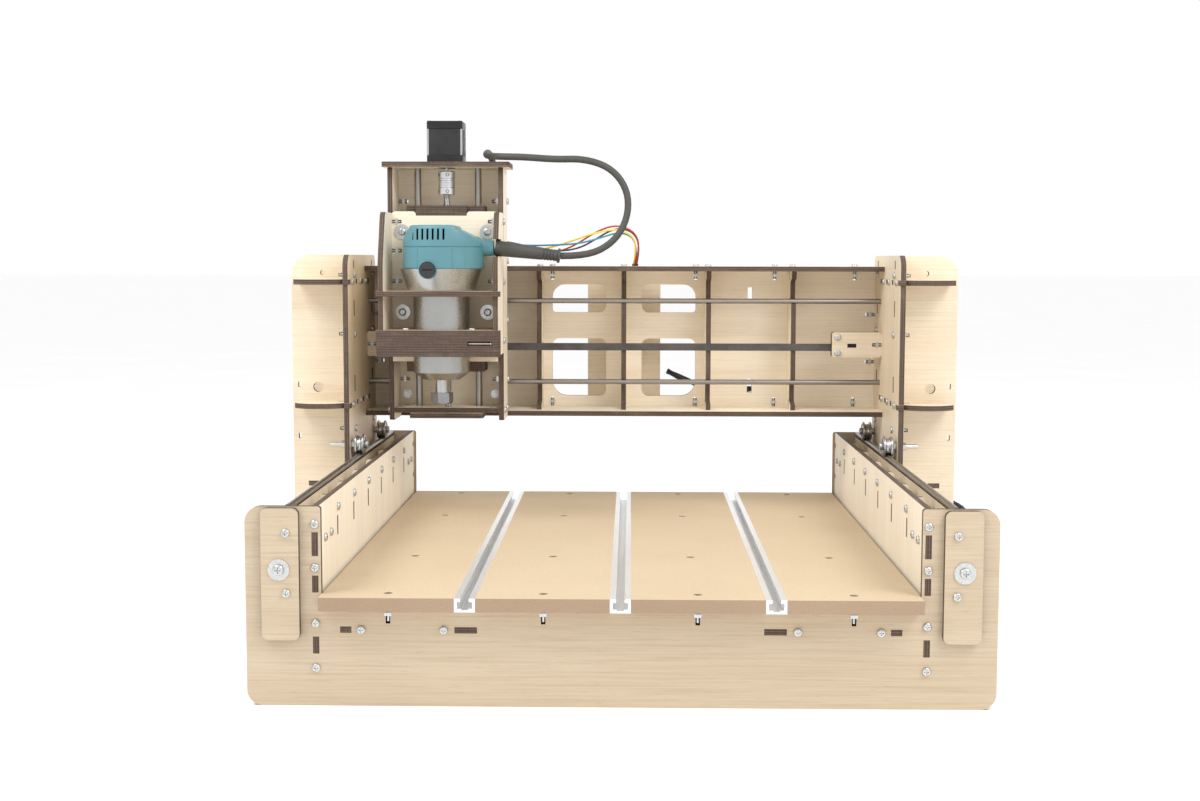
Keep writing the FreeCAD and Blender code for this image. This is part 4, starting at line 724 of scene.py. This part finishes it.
BOOT_START = mm(-148.6, 73, 427)
BOOT_END = mm(-73.6, 80, 418)
CORD_ROUTE = (
    (-73.3, 80.03, 418), (-41.7, 82.9, 417.6), (-11, 88, 434), (5, 92, 462), (5, 96, 494), (-14, 98, 520),
    (-46, 100, 531), (-80, 99, 530), (-116, 101, 533), (-149, 110, 534), (-166, 138, 537),
    (-164, 176, 545), (-158, 199, 521), (-155, 190, 490), (-154, 183, 466),
)
COIL = (-206.0, 466.0)    # X and Z of the coil's middle, in millimetres


def coil_points():
    """Three layers of turns, wound in, out and in again, and the last bend into the plug."""
    stages = (     # degrees turned, radius and depth at the stage's end
        (720, 36.0, 180.3), (60, 36.0, 188.3), (570, 48.7, 188.3), (60, 48.7, 196.3), (370, 40.5, 196.3),
        (90, 46.8, 209.6),
    )
    points, angle, radius, depth = [], 0.0, 52.0, 180.3
    for turned, last_radius, last_depth in stages:
        steps = max(2, round(turned / 22.5))
        for step in range(1, steps + 1):
            share = step / steps
            phase = math.radians(angle + turned * share)
            out = radius + (last_radius - radius) * share
            points.append((COIL[0] + out * math.cos(phase), depth + (last_depth - depth) * share,
                           COIL[1] - out * math.sin(phase)))
        angle, radius, depth = angle + turned, last_radius, last_depth
    points.append((-194.0, 209.6, 422.0))
    return points


def make_cord():
    """The router's cord from its boot to the coil behind the carriage, with boot, plug and ties."""
    path = smooth_line("cord_line", [mm(*p) for p in CORD_ROUTE + tuple(coil_points())])
    cord = Shape().put(tube(path, CORD_RADIUS), 0).piece(
        "router_mains_cord", ["rubber"], "cord_rubber", None, ["router_cord", "cord_coil"], 60)
    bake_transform(cord)

    way = BOOT_END - BOOT_START
    long = way.length / MM
    profile = [(8.4, 0), (9.0, 0.8), (9.0, 4)]
    for groove in range(4):
        height = long - 20 + 3.6 * groove
        radius = 9.0 - 2.6 * height / long
        profile += [(radius, height), (radius - 0.7, height + 0.5), (radius - 0.7, height + 1.1),
                    (radius, height + 1.6)]
    profile += [(6.6, long - 3.2), (8.2, long - 3.0), (8.4, long - 2.5), (8.4, long - 0.6), (7.9, long),
                (4.6, long), (4.2, long - 1.0)]
    boot = Shape().put(lathe(profile, 36), 0, aim(BOOT_START, way)).piece(
        "cord_boot_sleeve", ["rubber"], "cord_rubber", "z_slide", ["cord_boot"])

    plug_shape = Shape()
    plug_shape.put(block(40, 18, 22, 4.5, 1.4, 5), 0, Matrix.Translation(mm(-211, 209.6, 411.0)))
    for step in range(5):
        grip = Matrix.Translation(mm(-201 - 3.2 * step, 209.6, 413.5))
        plug_shape.put(block(1.4, 18.9, 17, 3.0, 0.5, 3), 0, grip)
    for height in (415.7, 428.3):
        pin = aim(mm(-231, 209.6, height), (-1, 0, 0))
        plug_shape.put(lathe([(2.2, 0), (2.2, 16.6), (1.4, 18)], 20), 1, pin)
    plug_shape.put(lathe([(6.6, 0), (5.4, 6), (4.6, 9)], 24), 0, aim(mm(-191.4, 209.6, 422.0), (1, 0, 0)))
    plug = plug_shape.piece("mains_plug", ["black", "brass"], "black_plastic", "carriage", ["cord_plug"])

    tie_shape = Shape()
    for angle in (0.9, 3.6):
        out = Vector((math.cos(angle), 0.0, -math.sin(angle)))
        middle = mm(COIL[0], 188.3, COIL[1]) + out * 0.0442
        ring = []
        for i in range(25):
            turn = TURN * i / 24
            ring.append(middle + out * 0.0128 * math.cos(turn) + Vector((0, 0.0131 * math.sin(turn), 0)))
        tie_shape.put(tube(ring, TIE_RADIUS, 8), 0)
    ties = tie_shape.piece("coil_ties", ["black"], "black_plastic", "carriage")


WIRE_ROUTE = (
    (-155, 175, 434), (-155, 192, 434), (-140, 207, 431), (-112, 213, 426), (-84, 216, 427), (-58, 219, 433),
    (-34, 224, 444), (-9, 233, 453), (12, 247, 446), (18, 263, 428), (14, 272, 408),
)


def strand_paths(line, count, turns, spread):
    """Lines wound round a centreline, which stand further from it in its middle."""
    length = len(line) - 1
    paths = []
    for k in range(count):
        across = (line[1] - line[0]).orthogonal().normalized()
        path = []
        for i, point in enumerate(line):
            tangent = (line[min(i + 1, length)] - line[max(i - 1, 0)]).normalized()
            across = (across - tangent * across.dot(tangent)).normalized()
            up = tangent.cross(across)
            phase = TURN * (k / count + turns * i / length)
            reach = spread(i / length)
            path.append(point + reach * (across * math.cos(phase) + up * math.sin(phase)))
        paths.append(path)
    return paths


def make_wires():
    """Four loose leads from the carriage to a socket on the beam."""
    line = smooth_line("wire_line", [mm(*p) for p in WIRE_ROUTE])
    paths = strand_paths(line, 4, 1.3, lambda t: 0.0018 + 0.0036 * math.sin(math.pi * t))
    end = aim(line[-1] - 0.0015 * MM * Vector((0, 0, 1)), (0, 0.3, -1))
    socket = Shape().put(block(8, 6, 9, 0.8, 0.3), 0, end).piece(
        "carriage_lead_socket", ["black"], "black_plastic", "gantry")
    for path, colour in zip(paths, ("red", "yellow", "blue", "dark")):
        lead = Shape().put(tube(path, LEAD_RADIUS, 8), 0).piece(
            "carriage_lead_" + colour, [colour], "wire_insulation", None, ["carriage_wiring"], 60)
        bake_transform(lead)


HARNESS_ROUTE = (
    (374, 271, 66), (374, 272, 112), (371, 271, 158), (360, 271, 202), (330, 271, 236), (286, 271, 252),
    (236, 272, 257), (186, 271, 251), (138, 273, 246), (92, 280, 252), (56, 290, 270),
)


def make_harness():
    """The motor harness clipped behind the beam, and its two-turn coil outside the right tower."""
    centre = (412.0, 66.0)
    coil_radius = 38
    coil = []
    turns, per_turn = 2, 16
    for step in range(turns * per_turn, 0, -1):
        share = step / per_turn
        angle = TURN * share
        coil.append((centre[0] - coil_radius * math.cos(angle), 271 + 8.2 * (share - 1.0) * 0.9 + 0.4,
                     centre[1] - coil_radius * math.sin(angle)))
    points = [mm(*p) for p in tuple(coil) + HARNESS_ROUTE]
    line = smooth_line("harness_line", points)
    bundle = Shape()
    for path in strand_paths(line, 4, 26, lambda t: 0.0023):
        bundle.put(tube(path, STRAND_RADIUS, 7), 0)
    bundle.put(tube(line, STRAND_RADIUS, 6), 0)
    for place in (0.52, 0.68, 0.83, 0.95):
        i = int(place * (len(line) - 1))
        way = line[i + 1] - line[i - 1]
        bundle.put(lathe([(3.9, -1.3), (4.2, -1.1), (4.2, 1.1), (3.9, 1.3)], 20), 1, aim(line[i], way))
    cable = bundle.piece("motor_harness", ["dark", "black"], "wire_insulation", "gantry", ["beam_harness"], 60)
    end = aim(line[0], line[0] - line[2])
    socket = Shape().put(block(9, 9, 12, 0.8, 0.3), 0, end).piece(
        "motor_harness_socket", ["black"], "black_plastic", "gantry")


def make_board_parts():
    """Chips, driver cards, sockets and capacitors on the controller board."""
    low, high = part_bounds("controller_board")
    wide, _, tall = (high - low) / MM
    shape = Shape()
    middle = (low + high) / 2

    def at(across, up, proud=0.0):
        """A place on the board's rear face, as shares of its width and height from its middle."""
        spot = (middle.x + across * wide * MM, high.y + proud, middle.z + up * tall * MM)
        return aim(Vector(spot), (0, 1, 0))

    for row in range(4):
        across = -0.33 + 0.22 * row
        shape.put(block(15, 20, 2.0, 0.4, 0.2), 0, at(across, 0.18))
        shape.put(block(9, 9, 5.0, 0.3, 0.2), 1, at(across, 0.18, 0.002))
        shape.put(block(12, 6, 7.0, 0.4, 0.2), 2, at(across, 0.4))
    shape.put(block(14, 14, 1.6, 0.4, 0.2), 0, at(0.0, -0.2))
    for across in (-0.34, 0.34):
        shape.put(lathe([(4.0, 0), (4.0, 8.5), (3.6, 9.0), (0.2, 9.0)], 24), 1, at(across, -0.25))
    shape.piece("board_parts", ["black", "alloy", "yellow"], "black_plastic", "gantry")


# ---------------------------------------------------------------- the scene
def make_floor():
    """A pale floor, 80 m square."""
    finish = Finish("studio_floor", Roughness=0.85)
    cloud = finish.ramp(finish.noise((3, 3, 3)), 0.3, 0.7)
    finish.colour(finish.mix(cloud, (0.96, 0.96, 0.96), (0.98, 0.98, 0.978)))
    sheet = bpy.data.meshes.new("studio_floor")
    sheet.from_pydata([(-40, -40, 0), (40, -40, 0), (40, 40, 0), (-40, 40, 0)], [], [(0, 1, 2, 3)])
    sheet.materials.append(finish.material)
    add_object("studio_floor", sheet)


make_camera()
make_studio()
FINISHES = make_finishes()
make_floor()
make_cord()
make_wires()
make_harness()
make_sheet_goods()
finish_kept_parts()
make_motors()
make_lead_screw()
make_housing()
make_board_parts()
